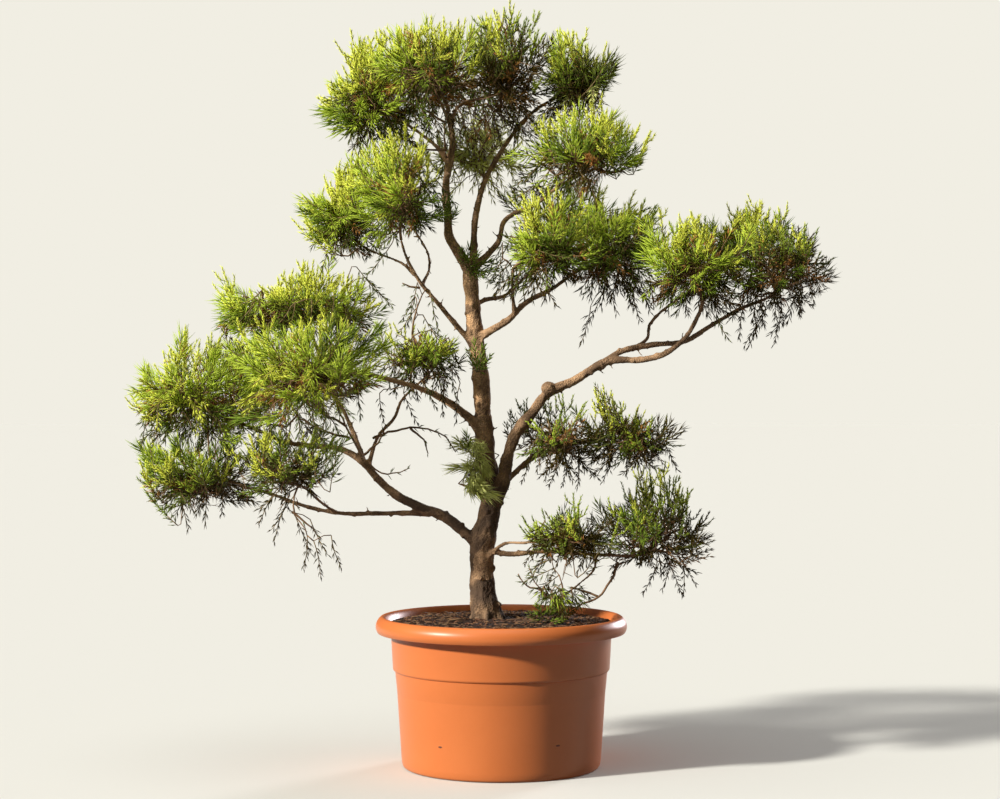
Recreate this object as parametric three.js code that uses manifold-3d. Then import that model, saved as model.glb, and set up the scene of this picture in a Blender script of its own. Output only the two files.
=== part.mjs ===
// Virginia pine trained as a bonsai, standing in a round nursery pot.
// Millimetres, +Z up. The origin is the middle of the pot's flat underside,
// and the side that the plant is trained to show faces -Y.
import * as THREE from "three";
import { mergeVertices } from "three/addons/utils/BufferGeometryUtils.js";
import Module from "manifold-3d";

const wasm = await Module();
wasm.setup();

const CLEARANCE = 0.3; // left between pieces that touch

// Pot: a thin wall with a step, and a rolled rim that is hollow underneath.
const POT_HEIGHT = 298;
const POT_SIDES = 32;
const BASE_RADIUS = 197;
const BASE_CORNER = 7;
const STEP_HEIGHT = 190;
const BELOW_STEP_RADIUS = 209.5;
const ABOVE_STEP_RADIUS = 215.5;
const NECK_RADIUS = 219.5;
const RIM_RADIUS = 250;
const RIM_MOUTH_RADIUS = 226;
const RIM_UNDERSIDE = 265;
const WALL = 4;
const STEP_RISE = 3; // height of the slope between the two widths
const RIM_CORNER = 6; // the rim's rounding, at its top and outer edges
const RIM_TOP_WIDTH = 14; // from the flat top of the rim to its widest place
const MOUTH_DEPTH = 8; // the mouth's lip below the rim's top
const NECK_RISE = 5; // how far the hollow under the rim goes up

// Soil: it fills the pot, and stands a little higher round the trunk.
const SOIL_EDGE_HEIGHT = 284;
const SOIL_TOP_HEIGHT = 292.7;
const SOIL_LEVEL_RADIUS = 90;
const SOIL_SLOPE_RADIUS = 175;
const SOIL_SLOPE_RISE = 3;
const SOIL_EASE = 0.4; // more clearance where the wall slopes

// Trunk: [x, y, z, radius] from the flat cut at the soil up to the fork.
const TRUNK_SIDES = 10;
const TRUNK_STATIONS = [
  [-28, 6, 293, 33],
  [-33, 6, 312, 28.5],
  [-37, 6, 350, 26.4],
  [-39, 5, 408, 25.2],
  [-36, 5, 455, 26],
  [-26, 5, 490, 24],
  [-20, 4, 530, 22],
  [-23, 4, 570, 20.5],
  [-31, 3, 625, 19.4],
  [-36, 3, 690, 18.6],
  [-39, 2, 750, 17.4],
  [-45, 2, 810, 16.8],
  [-53, 1, 870, 16.6],
  [-58, 1, 930, 16.2],
  [-62, 0, 970, 15.2],
  [-61, 0, 1006, 14.6],
];
// The root flare is lobed, and fades out up the trunk.
const FLARE_LOBES = 5;
const FLARE_DEPTH = 0.07;
const FLARE_FADE = 45;

// Leaders and boughs: the limb that bears each one, its radius at root and tip, and its centre line.
const BOUGHS = [
  {
    name: "leader_left", from: "trunk", radii: [11.5, 4.5],
    path: [
      [-62, 0, 982], [-86, 0, 1022], [-104, 0, 1053], [-106, -3, 1095], [-110, -6, 1144],
      [-106, -9, 1194], [-96, -12, 1237], [-100, -16, 1270], [-104, -20, 1297],
    ],
  },
  {
    name: "leader_left_side", from: "leader_left", radii: [4.2, 3],
    path: [
      [-100, -16, 1266], [-88, -10, 1307], [-62, -4, 1321], [-27, 6, 1333],
    ],
  },
  {
    name: "leader_left_branch", from: "leader_left", radii: [4.5, 3],
    path: [
      [-104, -9, 1192], [-126, -12, 1227], [-165, -12, 1259], [-209, -10, 1287],
    ],
  },
  {
    name: "leader_back", from: "leader_left", radii: [4.8, 3.2],
    path: [
      [-106, -7, 1172], [-97, 38, 1225], [-104, 86, 1279], [-121, 122, 1329],
    ],
  },
  {
    name: "leader_middle", from: "trunk", radii: [8, 3.6],
    path: [
      [-56, 2, 986], [-55, 16, 1037], [-51, 20, 1097], [-33, 28, 1166], [-11, 34, 1208], [28, 45, 1268],
      [64, 48, 1307], [96, 45, 1328],
    ],
  },
  {
    name: "leader_middle_back", from: "leader_middle", radii: [3.4, 2.8],
    path: [
      [-33, 28, 1166], [-36, 58, 1178], [-44, 86, 1190], [-50, 102, 1200],
    ],
  },
  {
    name: "leader_right", from: "trunk", radii: [7, 3.6],
    path: [
      [-54, 2, 990], [-26, -8, 1017], [-5, -14, 1042], [5, -18, 1080], [27, -22, 1097], [61, -27, 1109],
      [94, -34, 1134],
    ],
  },
  {
    name: "bough_upper_left", from: "trunk", radii: [6.2, 3],
    path: [
      [-58, 0, 840], [-90, -12, 876], [-137, -30, 932], [-158, -40, 956], [-177, -52, 988],
      [-189, -62, 1015], [-196, -70, 1040],
    ],
  },
  {
    name: "bough_upper_left_side", from: "bough_upper_left", radii: [3.4, 2.6],
    path: [
      [-172, -47, 975], [-196, -34, 997], [-220, -24, 1008], [-249, -10, 1019],
    ],
  },
  {
    name: "bough_upper_left_back", from: "bough_upper_left", radii: [3.4, 2.6],
    path: [
      [-156, -39, 954], [-144, 10, 988], [-148, 60, 1022], [-164, 105, 1053], [-179, 135, 1076],
    ],
  },
  {
    name: "bough_upper_right", from: "trunk", radii: [8.6, 3.6],
    path: [
      [-58, 0, 844], [-22, -14, 864], [13, -22, 885], [51, -25, 921], [100, -26, 947], [140, -24, 976],
    ],
  },
  {
    name: "bough_upper_right_fork", from: "bough_upper_right", radii: [4.6, 3],
    path: [
      [27, -23, 895], [23, -46, 930], [21, -82, 973],
    ],
  },
  {
    name: "bough_back_right", from: "trunk", radii: [5.4, 3.4],
    path: [
      [-60, 0, 908], [-35, 30, 927], [5, 80, 938], [47, 132, 977],
    ],
  },
  {
    name: "bough_big_right", from: "trunk", radii: [15, 4.2],
    path: [
      [-24, 3, 496], [3, -14, 560], [11, -20, 608], [29, -26, 660], [61, -30, 701], [90, -33, 739],
      [145, -34, 766], [211, -34, 804], [273, -46, 806], [319, -58, 817], [361, -70, 850],
      [388, -82, 899],
    ],
  },
  {
    name: "bough_big_right_upper", from: "bough_big_right", radii: [7, 3.8],
    path: [
      [195, -34, 794], [235, -24, 822], [295, -12, 836], [365, -6, 844], [415, -4, 874], [475, -2, 908],
      [531, 0, 930],
    ],
  },
  {
    name: "bough_big_right_back", from: "bough_big_right_upper", radii: [4, 3],
    path: [
      [259, -18, 828], [291, 14, 849], [300, 54, 880], [339, 96, 918], [404, 132, 959],
    ],
  },
  {
    name: "bough_mid_right", from: "trunk", radii: [6.4, 3.4],
    path: [
      [-23, 4, 528], [11, 16, 565], [58, 36, 607], [118, 52, 632], [200, 68, 650], [253, 80, 670],
    ],
  },
  {
    name: "bough_mid_right_side", from: "bough_mid_right", radii: [3.8, 2.8],
    path: [
      [45, 30, 597], [69, 4, 621], [88, -34, 634], [103, -62, 643],
    ],
  },
  {
    name: "bough_low_right", from: "trunk", radii: [6.6, 3.4],
    path: [
      [-38, 4, 380], [-24, -12, 423], [21, -24, 422], [86, -26, 428], [166, -16, 422], [240, 0, 417],
    ],
  },
  {
    name: "bough_low_right_side", from: "bough_low_right", radii: [4.2, 2.8],
    path: [
      [-24, -13, 418], [5, -34, 443], [44, -66, 447], [75, -90, 452],
    ],
  },
  {
    name: "bough_low_right_loop", from: "bough_low_right", radii: [2.8, 2.4],
    path: [
      [188, -12, 419], [183, -24, 391], [155, -48, 367], [127, -66, 347],
    ],
  },
  {
    name: "bough_low_left", from: "trunk", radii: [12.5, 3.8],
    path: [
      [-28, 4, 424], [-72, -6, 463], [-112, -14, 495], [-165, -22, 517], [-208, -25, 539],
      [-246, -25, 573], [-276, -22, 606], [-320, -14, 630], [-376, -6, 636], [-430, -2, 643],
      [-476, 0, 663],
    ],
  },
  {
    name: "bough_low_left_up", from: "bough_low_left", radii: [5.4, 3.4],
    path: [
      [-268, -22, 596], [-294, 6, 659], [-315, 28, 703], [-345, 46, 755], [-370, 58, 824],
      [-384, 62, 868],
    ],
  },
  {
    name: "bough_low_left_right", from: "bough_low_left", radii: [4.4, 2.8],
    path: [
      [-264, -23, 594], [-244, -28, 654], [-212, -33, 691], [-196, -37, 727], [-168, -40, 755],
      [-146, -42, 774],
    ],
  },
  {
    name: "bough_low_left_side", from: "bough_low_left", radii: [5.8, 3.2],
    path: [
      [-141, -19, 503], [-177, -18, 503], [-241, -12, 502], [-321, -4, 502], [-391, 0, 516],
      [-464, 0, 542], [-532, 0, 558],
    ],
  },
  {
    name: "bough_low_left_side_up", from: "bough_low_left_side", radii: [3.4, 2.8],
    path: [
      [-327, -4, 502], [-353, -44, 524], [-381, -86, 554],
    ],
  },
  {
    name: "bough_mid_left", from: "trunk", radii: [7.4, 3.8],
    path: [
      [-40, 2, 671], [-74, -12, 703], [-113, -32, 729], [-160, -56, 751], [-206, -80, 764],
      [-251, -104, 777],
    ],
  },
  {
    name: "bough_back_left", from: "trunk", radii: [6.8, 3.8],
    path: [
      [-42, 4, 661], [-77, 52, 699], [-117, 100, 725], [-167, 146, 750], [-218, 176, 764],
      [-269, 196, 777],
    ],
  },
];
// Old pruning wounds: [limb, x, y, z, radius].
const KNOTS = [
  ["bough_big_right", 93, -36, 750, 15.5],
  ["trunk", -7, -4, 320, 8],
];

// Masses of foliage: the limb that bears each one, its middle, and its reach along X, Y and Z.
const MASSES = [
  {
    name: "foliage_crown_left", from: "leader_left_branch",
    centre: [-266, -10, 1345], reach: [110, 130, 118],
  },
  {
    name: "foliage_crown_top", from: "leader_left",
    centre: [-143, -70, 1380], reach: [116, 130, 122],
  },
  {
    name: "foliage_crown_right", from: "leader_left_side",
    centre: [7, 10, 1375], reach: [98, 130, 145],
  },
  {
    name: "foliage_crown_back", from: "leader_back",
    centre: [-135, 170, 1398], reach: [182, 120, 116],
  },
  {
    name: "foliage_crown_low", from: "leader_middle_back",
    centre: [-48, 112, 1232], reach: [120, 85, 88],
  },
  {
    name: "foliage_top_right", from: "leader_middle",
    centre: [164, 40, 1372], reach: [92, 120, 112],
  },
  {
    name: "foliage_upper_right", from: "leader_right",
    centre: [182, -60, 1208], reach: [132, 130, 112],
  },
  {
    name: "foliage_upper_left", from: "bough_upper_left",
    centre: [-189, -90, 1128], reach: [101, 120, 125],
  },
  {
    name: "foliage_upper_left_far", from: "bough_upper_left_side",
    centre: [-317, 0, 1097], reach: [107, 130, 106],
  },
  {
    name: "foliage_upper_left_back", from: "bough_upper_left_back",
    centre: [-248, 195, 1154], reach: [129, 120, 112],
  },
  {
    name: "foliage_right", from: "bough_upper_right_fork",
    centre: [86, -130, 1024], reach: [100, 120, 104],
  },
  {
    name: "foliage_right_far", from: "bough_upper_right",
    centre: [223, -15, 1026], reach: [112, 130, 112],
  },
  {
    name: "foliage_right_back", from: "bough_back_right",
    centre: [147, 195, 1089], reach: [154, 130, 112],
  },
  {
    name: "foliage_far_right_front", from: "bough_big_right",
    centre: [376, -100, 988], reach: [112, 120, 120],
  },
  {
    name: "foliage_far_right", from: "bough_big_right_upper",
    centre: [560, 0, 1004], reach: [126, 150, 122],
  },
  {
    name: "foliage_far_right_back", from: "bough_big_right_back",
    centre: [490, 172, 1046], reach: [141, 120, 112],
  },
  {
    name: "foliage_mid_right", from: "bough_mid_right_side",
    centre: [108, -95, 655], reach: [110, 115, 92],
  },
  {
    name: "foliage_mid_right_far", from: "bough_mid_right",
    centre: [262, 90, 648], reach: [118, 140, 96],
  },
  {
    name: "foliage_low_right", from: "bough_low_right_side",
    centre: [133, -115, 465], reach: [110, 125, 78],
  },
  {
    name: "foliage_low_right_far", from: "bough_low_right",
    centre: [312, 30, 458], reach: [128, 160, 132],
  },
  {
    name: "foliage_low_right_hanging", from: "bough_low_right_loop",
    centre: [107, -80, 329], reach: [51, 50, 33], hangs: true,
  },
  {
    name: "foliage_left_top", from: "bough_low_left_up",
    centre: [-409, 62, 915], reach: [196, 150, 98],
  },
  {
    name: "foliage_left_far", from: "bough_low_left",
    centre: [-610, 0, 745], reach: [150, 170, 124],
  },
  {
    name: "foliage_left_front", from: "bough_mid_left",
    centre: [-365, -175, 780], reach: [145, 150, 109],
  },
  {
    name: "foliage_left_inner", from: "bough_low_left_right",
    centre: [-156, -42, 820], reach: [104, 105, 80],
  },
  {
    name: "foliage_left_low", from: "bough_low_left_side",
    centre: [-608, 0, 568], reach: [135, 160, 107],
  },
  {
    name: "foliage_left_low_front", from: "bough_low_left_side_up",
    centre: [-408, -125, 592], reach: [112, 120, 97],
  },
  {
    name: "foliage_left_back", from: "bough_back_left",
    centre: [-439, 225, 748], reach: [193, 145, 138],
  },
  {
    name: "foliage_trunk_hanging", from: "trunk",
    centre: [-60, -52, 597], reach: [37, 40, 61], hangs: true,
  },
];

// Limb meshes: rings along the centre line, with more sides on a thicker limb.
const RING_STEP = 66;
const SIDES_BY_RADIUS = [
  [10, 8],
  [5, 6],
  [0, 5],
];

// Growth of a mass: a stem bends up from the bough's tip to the heart of the mass, twigs branch from it,
// and each twig ends in a spray of needles.
const HEART_DROP = 0.25; // of the reach below the middle
const STEM_BEND = 0.45; // of the way along: how far the stem keeps its bough's heading
const STEM_STEP = 22;
const SPRAY_SPACING = 150; // one spray for each square of this side on the mass's surface
const FEWEST_SPRAYS = 4;
const LOWEST_SPRAY = -0.7; // height on a unit ball below which no spray ends
const INNER_EVERY = 5; // every fifth spray ends inside the mass
const INNER_DEPTH = 0.6;
// Tries for a spray that finds no room: how far out its tip ends, and its share of the full size.
const TRIES = [
  [0.98, 1], [0.95, 1], [0.95, 0.9], [0.9, 0.9], [0.9, 0.8],
  [0.85, 0.8], [0.95, 0.7], [0.8, 0.7], [0.7, 0.7],
];
const GOLDEN_ANGLE = Math.PI * (3 - Math.sqrt(5));
const AIM_SPREAD = 0.8; // how far a spray follows its place sideways, against its lift
const AIM_RISE = 0.6;
const LIFTS = { upper: 0.8, lower: 0.3, hanging: -0.9 };
const AIM_SCATTER = 0.5;
const RUN_COST = 0.3; // how much a long way round counts when a twig picks where to branch
const NEIGHBOUR_MARGIN = 0.02; // left to the space of the next mass
const LIMB_MARGIN = 3.5; // left to every limb
const LOOSE_EDGE = 1.25; // twigs may run this far out on their way in from the bough
const SPRAY_MARGIN = 3.4; // left to the needles, cores and twigs of the other sprays
const NEEDLE_TEST = 0.6; // the place along a needle that is tested as well as its tip
const JOINT_FREE = 9; // a twig may touch what is nearer than this to its own root
const STEM_FREE = 14; // no twig branches nearer than this to the stem's foot
const STEM_SIDES = 4;
const STEM_END_RADIUS = 2.6;
const TRUNK_STEM_RADIUS = 3.2; // of a stem that grows straight from the trunk
const LEAST_FACING = 0.35; // cosine between a bud's face and the twig that grows from it
const COLLAR_LENGTH = 7;
const COLLAR_RADIUS = 2.2;
const TWIG_RADIUS = 2;
const LONG_TWIG = 55; // a twig longer than this has buds of its own, on a band half way out
const TWIG_BUD = 6; // half the length of that band
const TWIG_RUN_SHARE = 0.7; // of the twig's whole run, counted at that band

// Spray: a slim three-sided core with two whorls of needles and a needle at its tip.
const SPRAY_LENGTH = 94;
const CORE_RADII = [3, 3, 2.6, 2.6];
const CORE_PLACES = [0, 0.13, 0.44, 0.56]; // of the spray's length
const NEEDLE_LENGTH = 54;
const NEEDLE_LEAN = 0.76; // radians from the spray's axis
const LEAN_SPREAD = 0.2; // each way, as a share
const LENGTH_SPREAD = 0.1;
const FULL_SIZE_REACH = 85; // a mass with less reach than this has smaller sprays

const COLOURS = {
  pot: [0xc9683c, 0.5],
  soil: [0x3a2a22, 0.95],
  bark: [0x8a6551, 0.85],
  needles: [0x7d9a2e, 0.65],
};

// Seeded generator of numbers from 0 to 1.
function randomFrom(seed) {
  let state = seed;
  return () => {
    state = (state + 0x6d2b79f5) | 0;
    let t = Math.imul(state ^ (state >>> 15), 1 | state);
    t = (t + Math.imul(t ^ (t >>> 7), 61 | t)) ^ t;
    return ((t ^ (t >>> 14)) >>> 0) / 4294967296;
  };
}

// A share about 1, as far as the spread each way.
const spread = (share, chance) => 1 - share + 2 * share * chance();
const vector = (x, y, z) => new THREE.Vector3(x, y, z);
const along = (point, direction, distance) => point.clone().addScaledVector(direction, distance);

// A solid from points and triangles.
function solidFrom(points, faces) {
  const bare = new THREE.BufferGeometry();
  const places = points.flatMap((p) => [p.x, p.y, p.z]);
  bare.setAttribute("position", new THREE.Float32BufferAttribute(places, 3));
  bare.setIndex(faces.flat());
  return solidOf(bare);
}

// A solid from a closed geometry of three.js.
function solidOf(geometry) {
  const bare = geometry.clone();
  bare.deleteAttribute("normal");
  bare.deleteAttribute("uv");
  const merged = mergeVertices(bare, 1e-3);
  return new wasm.Manifold(
    new wasm.Mesh({
      numProp: 3,
      vertProperties: new Float32Array(merged.attributes.position.array),
      triVerts: new Uint32Array(merged.index.array),
    }),
  );
}

// The outer skin of a solid's largest piece: sealed hollows are filled and loose scraps dropped.
function mainPiece(solid) {
  return solid.decompose().reduce((best, piece) => (piece.volume() > best.volume() ? piece : best));
}

function meshOf(name, solid, finish) {
  const { numProp, vertProperties, triVerts } = solid.getMesh();
  const places = new Float32Array((vertProperties.length / numProp) * 3);
  for (let i = 0; i < places.length / 3; i++)
    places.set(vertProperties.subarray(i * numProp, i * numProp + 3), i * 3);
  const geometry = new THREE.BufferGeometry();
  geometry.setAttribute("position", new THREE.BufferAttribute(places, 3));
  geometry.setIndex(new THREE.BufferAttribute(triVerts, 1));
  geometry.computeVertexNormals();
  const [color, roughness] = COLOURS[finish];
  const material = new THREE.MeshStandardMaterial({ color, roughness, metalness: 0 });
  const mesh = new THREE.Mesh(geometry, material);
  mesh.name = name;
  return mesh;
}

// Triangles through rings of points that run outwards, with a fan over each end.
function skinFaces(ringCount, sides) {
  const faces = [];
  for (let ring = 0; ring + 1 < ringCount; ring++)
    for (let k = 0; k < sides; k++) {
      const a = ring * sides + k;
      const b = ring * sides + ((k + 1) % sides);
      faces.push([a, b, b + sides], [a, b + sides, a + sides]);
    }
  const last = (ringCount - 1) * sides;
  for (let k = 1; k + 1 < sides; k++) {
    faces.push([0, k + 1, k]);
    faces.push([last, last + k, last + k + 1]);
  }
  return faces;
}

// A ring of points round an axis. The normal is where the ring starts, and the ring's own is given back.
function ringAt(centre, axis, normal, radius, sides) {
  const first = normal.clone().addScaledVector(axis, -normal.dot(axis)).normalize();
  const second = axis.clone().cross(first);
  const points = [];
  for (let k = 0; k < sides; k++) {
    const angle = (2 * Math.PI * k) / sides;
    const across = along(centre, first, radius * Math.cos(angle));
    points.push(along(across, second, radius * Math.sin(angle)));
  }
  return { points, normal: first };
}

function centreOf(points) {
  return points.reduce((sum, point) => sum.addScaledVector(point, 1 / points.length), vector(0, 0, 0));
}

// Any direction square to an axis.
function squareTo(axis) {
  const helper = Math.abs(axis.z) < 0.9 ? vector(0, 0, 1) : vector(1, 0, 0);
  return helper.addScaledVector(axis, -helper.dot(axis)).normalize();
}

// A closed profile of [radius, height] points that starts and ends on the axis.
function turned(profile, sides) {
  const points = profile.map(([r, z]) => new THREE.Vector2(r, z));
  return solidOf(new THREE.LatheGeometry(points, sides).rotateX(Math.PI / 2));
}

function potSolid() {
  const inner = [
    [RIM_MOUTH_RADIUS, POT_HEIGHT - MOUTH_DEPTH],
    [ABOVE_STEP_RADIUS, RIM_UNDERSIDE - WALL],
    [ABOVE_STEP_RADIUS - WALL, STEP_HEIGHT + WALL],
    [BELOW_STEP_RADIUS - WALL, STEP_HEIGHT - WALL / 2],
    [BASE_RADIUS - WALL, BASE_CORNER + WALL],
    [BASE_RADIUS - WALL - BASE_CORNER, WALL],
    [0, WALL],
  ];
  const outer = [
    [0, 0],
    [BASE_RADIUS - BASE_CORNER, 0],
    [BASE_RADIUS, BASE_CORNER],
    [BELOW_STEP_RADIUS, STEP_HEIGHT],
    [ABOVE_STEP_RADIUS, STEP_HEIGHT + STEP_RISE],
    [NECK_RADIUS, RIM_UNDERSIDE + NECK_RISE],
    [RIM_RADIUS - RIM_CORNER - WALL / 2, RIM_UNDERSIDE + NECK_RISE],
    [RIM_RADIUS - RIM_CORNER, RIM_UNDERSIDE],
    [RIM_RADIUS, RIM_UNDERSIDE + 2 * RIM_CORNER],
    [RIM_RADIUS - WALL, POT_HEIGHT - RIM_CORNER],
    [RIM_RADIUS - RIM_TOP_WIDTH, POT_HEIGHT],
  ];
  return turned([...outer, ...inner], POT_SIDES);
}

function soilSolid() {
  const inside = WALL + CLEARANCE / Math.cos(Math.PI / POT_SIDES);
  return turned(
    [
      [0, WALL + CLEARANCE],
      [BASE_RADIUS - WALL - BASE_CORNER - 1, WALL + CLEARANCE],
      [BASE_RADIUS - inside - SOIL_EASE, BASE_CORNER + WALL],
      [BELOW_STEP_RADIUS - inside - SOIL_EASE, STEP_HEIGHT - WALL / 2],
      [ABOVE_STEP_RADIUS - inside - SOIL_EASE, STEP_HEIGHT + WALL + 1],
      [ABOVE_STEP_RADIUS - inside + WALL - SOIL_EASE, RIM_UNDERSIDE - WALL],
      [RIM_MOUTH_RADIUS - inside + WALL / 2, SOIL_EDGE_HEIGHT],
      [SOIL_SLOPE_RADIUS, SOIL_EDGE_HEIGHT + SOIL_SLOPE_RISE],
      [SOIL_LEVEL_RADIUS, SOIL_TOP_HEIGHT],
      [0, SOIL_TOP_HEIGHT],
    ],
    POT_SIDES,
  );
}

// The trunk has level rings, so that its foot is a flat cut.
function trunkRings(grow) {
  return TRUNK_STATIONS.map(([x, y, z, radius], i) => {
    const rise = i === 0 ? -grow : i === TRUNK_STATIONS.length - 1 ? grow : 0;
    const lobes = FLARE_DEPTH * Math.exp(-(z - TRUNK_STATIONS[0][2]) / FLARE_FADE);
    const points = [];
    for (let k = 0; k < TRUNK_SIDES; k++) {
      const angle = (2 * Math.PI * k) / TRUNK_SIDES;
      const lobed = radius * (1 + lobes * Math.cos(FLARE_LOBES * angle));
      const r = lobed + grow / Math.cos(Math.PI / TRUNK_SIDES);
      points.push(vector(x + r * Math.cos(angle), y + r * Math.sin(angle), z + rise));
    }
    return points;
  });
}

// A bough's rings lie square to its centre line, and taper from root to tip.
function boughRings(bough, grow) {
  const { curve, sides, steps } = bough;
  let normal = squareTo(curve.getTangentAt(0));
  const rings = [];
  for (let i = 0; i <= steps; i++) {
    const axis = curve.getTangentAt(i / steps);
    const rise = i === 0 ? -grow : i === steps ? grow : 0;
    const centre = along(curve.getPointAt(i / steps), axis, rise);
    const radius = bough.radiusAt(i / steps) + grow / Math.cos(Math.PI / sides);
    const ring = ringAt(centre, axis, normal, radius, sides);
    normal = ring.normal;
    rings.push(ring.points);
  }
  return rings;
}

function ringSolid(rings) {
  return solidFrom(rings.flat(), skinFaces(rings.length, rings[0].length));
}

// Each limb with its solid, cut clear of the limbs made before it, and its centre line as balls.
function buildLimbs() {
  const limbs = new Map();
  limbs.set("trunk", {
    name: "trunk",
    solid: ringSolid(trunkRings(0)),
    grown: ringSolid(trunkRings(CLEARANCE)),
    balls: TRUNK_STATIONS.map(([x, y, z, radius]) => ({ centre: vector(x, y, z), radius })),
  });
  for (const { name, from, radii, path } of BOUGHS) {
    const curve = new THREE.CatmullRomCurve3(path.map((p) => vector(...p)), false, "centripetal");
    const steps = Math.max(3, Math.round(curve.getLength() / RING_STEP));
    const sides = SIDES_BY_RADIUS.find(([least]) => radii[0] >= least)[1];
    const radiusAt = (u) => radii[0] + (radii[1] - radii[0]) * u;
    const bough = { name, from, curve, steps, sides, radiusAt };
    bough.grown = ringSolid(boughRings(bough, CLEARANCE));
    bough.balls = Array.from({ length: steps * 2 + 1 }, (_, i) => ({
      centre: curve.getPointAt(i / (steps * 2)),
      radius: radiusAt(i / (steps * 2)),
    }));
    bough.tip = curve.getPointAt(1);
    bough.heading = curve.getTangentAt(1);
    let solid = ringSolid(boughRings(bough, 0));
    for (const earlier of limbs.values()) solid = solid.subtract(earlier.grown);
    bough.solid = mainPiece(solid);
    limbs.set(name, bough);
  }
  for (const [name, x, y, z, radius] of KNOTS) {
    const knot = solidOf(new THREE.IcosahedronGeometry(radius, 0).translate(x, y, z));
    const limb = limbs.get(name);
    limb.solid = limb.solid.add(knot);
    limb.balls.push({ centre: vector(x, y, z), radius });
  }
  return limbs;
}

// Least distance between two straight threads, each a pair of end points.
function threadGap([a, b], [c, d]) {
  const first = b.clone().sub(a);
  const second = d.clone().sub(c);
  const across = a.clone().sub(c);
  const clampUnit = (value) => Math.min(1, Math.max(0, value));
  const [aa, bb, ab] = [first.lengthSq(), second.lengthSq(), first.dot(second)];
  const [ac, bc] = [first.dot(across), second.dot(across)];
  const spread = aa * bb - ab * ab;
  let u = spread > 1e-9 ? clampUnit((ab * bc - ac * bb) / spread) : 0;
  const v = clampUnit((ab * u + bc) / bb);
  u = clampUnit((ab * v - ac) / aa);
  return along(a, first, u).distanceTo(along(c, second, v));
}

function clearOfLimbs(thread, limbs) {
  for (const { balls } of limbs)
    for (let i = 0; i + 1 < balls.length; i++) {
      const [a, b] = [balls[i], balls[i + 1]];
      if (threadGap(thread, [a.centre, b.centre]) < Math.max(a.radius, b.radius) + LIMB_MARGIN) return false;
    }
  return true;
}

// How far out a point lies in a mass: 0 in the middle, 1 on the edge of its space.
function depthIn(mass, point) {
  return Math.hypot(
    (point.x - mass.centre[0]) / mass.reach[0],
    (point.y - mass.centre[1]) / mass.reach[1],
    (point.z - mass.centre[2]) / mass.reach[2],
  );
}

function inOwnSpace(mass, point, edge) {
  const own = depthIn(mass, point);
  const nearer = (other) => other !== mass && own + NEIGHBOUR_MARGIN >= depthIn(other, point);
  return own < edge && !MASSES.some(nearer);
}

function surfaceOf([a, b, c]) {
  const p = 1.6075;
  const mean = ((a * b) ** p + (a * c) ** p + (b * c) ** p) / 3;
  return 4 * Math.PI * mean ** (1 / p);
}

// Where a mass's stem starts and heads: at its bough's tip, or on the side of the trunk that faces the mass.
function stemFoot(mass, limbs) {
  const limb = limbs.get(mass.from);
  if (limb.tip) {
    const point = along(limb.tip, limb.heading, CLEARANCE);
    return { point, heading: limb.heading, radius: limb.radiusAt(1) };
  }
  const middle = vector(...mass.centre);
  const gapTo = (ball) => ball.centre.distanceTo(middle);
  const nearest = limb.balls.reduce((a, b) => (gapTo(a) < gapTo(b) ? a : b));
  const heading = vector(middle.x - nearest.centre.x, middle.y - nearest.centre.y, 0).normalize();
  return { point: nearest.centre.clone(), heading, radius: TRUNK_STEM_RADIUS };
}

// The skin of a mass: points and faces, and the buds, which are faces that a twig can grow from.
class Skin {
  constructor() {
    this.points = [];
    this.faces = [];
    this.buds = [];
  }

  // Joins the last ring of points to a new one, and makes a bud of each side of the band where asked.
  band(from, ring, bud) {
    const sides = ring.length;
    const to = ring.map((point) => this.points.push(point) - 1);
    for (let k = 0; k < sides; k++) {
      const next = (k + 1) % sides;
      const pair = [[from[k], from[next], to[next]], [from[k], to[next], to[k]]];
      const side = k % 2;
      if (bud) this.buds.push({ ...bud, face: this.faces.length + side, middle: this.middleOf(pair[side]) });
      this.faces.push(...pair);
    }
    return to;
  }

  middleOf(face) {
    return centreOf(face.map((k) => this.points[k]));
  }

  normalOf(face) {
    const [a, b, c] = face.map((k) => this.points[k]);
    return b.clone().sub(a).cross(c.clone().sub(a)).normalize();
  }

  // Raises a face into a needle that ends at a point.
  raise(index, end) {
    const [a, b, c] = this.faces[index];
    const n = this.points.push(end) - 1;
    this.faces[index] = [a, b, n];
    this.faces.push([b, c, n], [c, a, n]);
  }
}

// The stem from its foot to the heart of the mass, with buds along its sides.
function growStem(skin, mass, foot) {
  const heart = vector(...mass.centre);
  heart.z -= HEART_DROP * mass.reach[2];
  const bend = along(foot.point, foot.heading, STEM_BEND * foot.point.distanceTo(heart));
  const curve = new THREE.QuadraticBezierCurve3(foot.point, bend, heart);
  const steps = Math.max(3, Math.round(curve.getLength() / STEM_STEP));
  const threads = [];
  let normal = squareTo(foot.heading);
  let last = null;
  for (let i = 0; i <= steps; i++) {
    const u = i / steps;
    const radius = foot.radius + (STEM_END_RADIUS - foot.radius) * u;
    const ring = ringAt(curve.getPoint(u), curve.getTangent(u), normal, radius, STEM_SIDES);
    normal = ring.normal;
    const run = u * curve.getLength();
    if (last) {
      last = skin.band(last, ring.points, run > STEM_FREE ? { run } : null);
      threads.push([curve.getPoint((i - 1) / steps), curve.getPoint(u)]);
    } else {
      last = ring.points.map((point) => skin.points.push(point) - 1);
      skin.faces.push([last[0], last[2], last[1]], [last[0], last[3], last[2]]);
    }
  }
  skin.faces.push([last[0], last[1], last[2]], [last[0], last[2], last[3]]);
  return threads;
}

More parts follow.
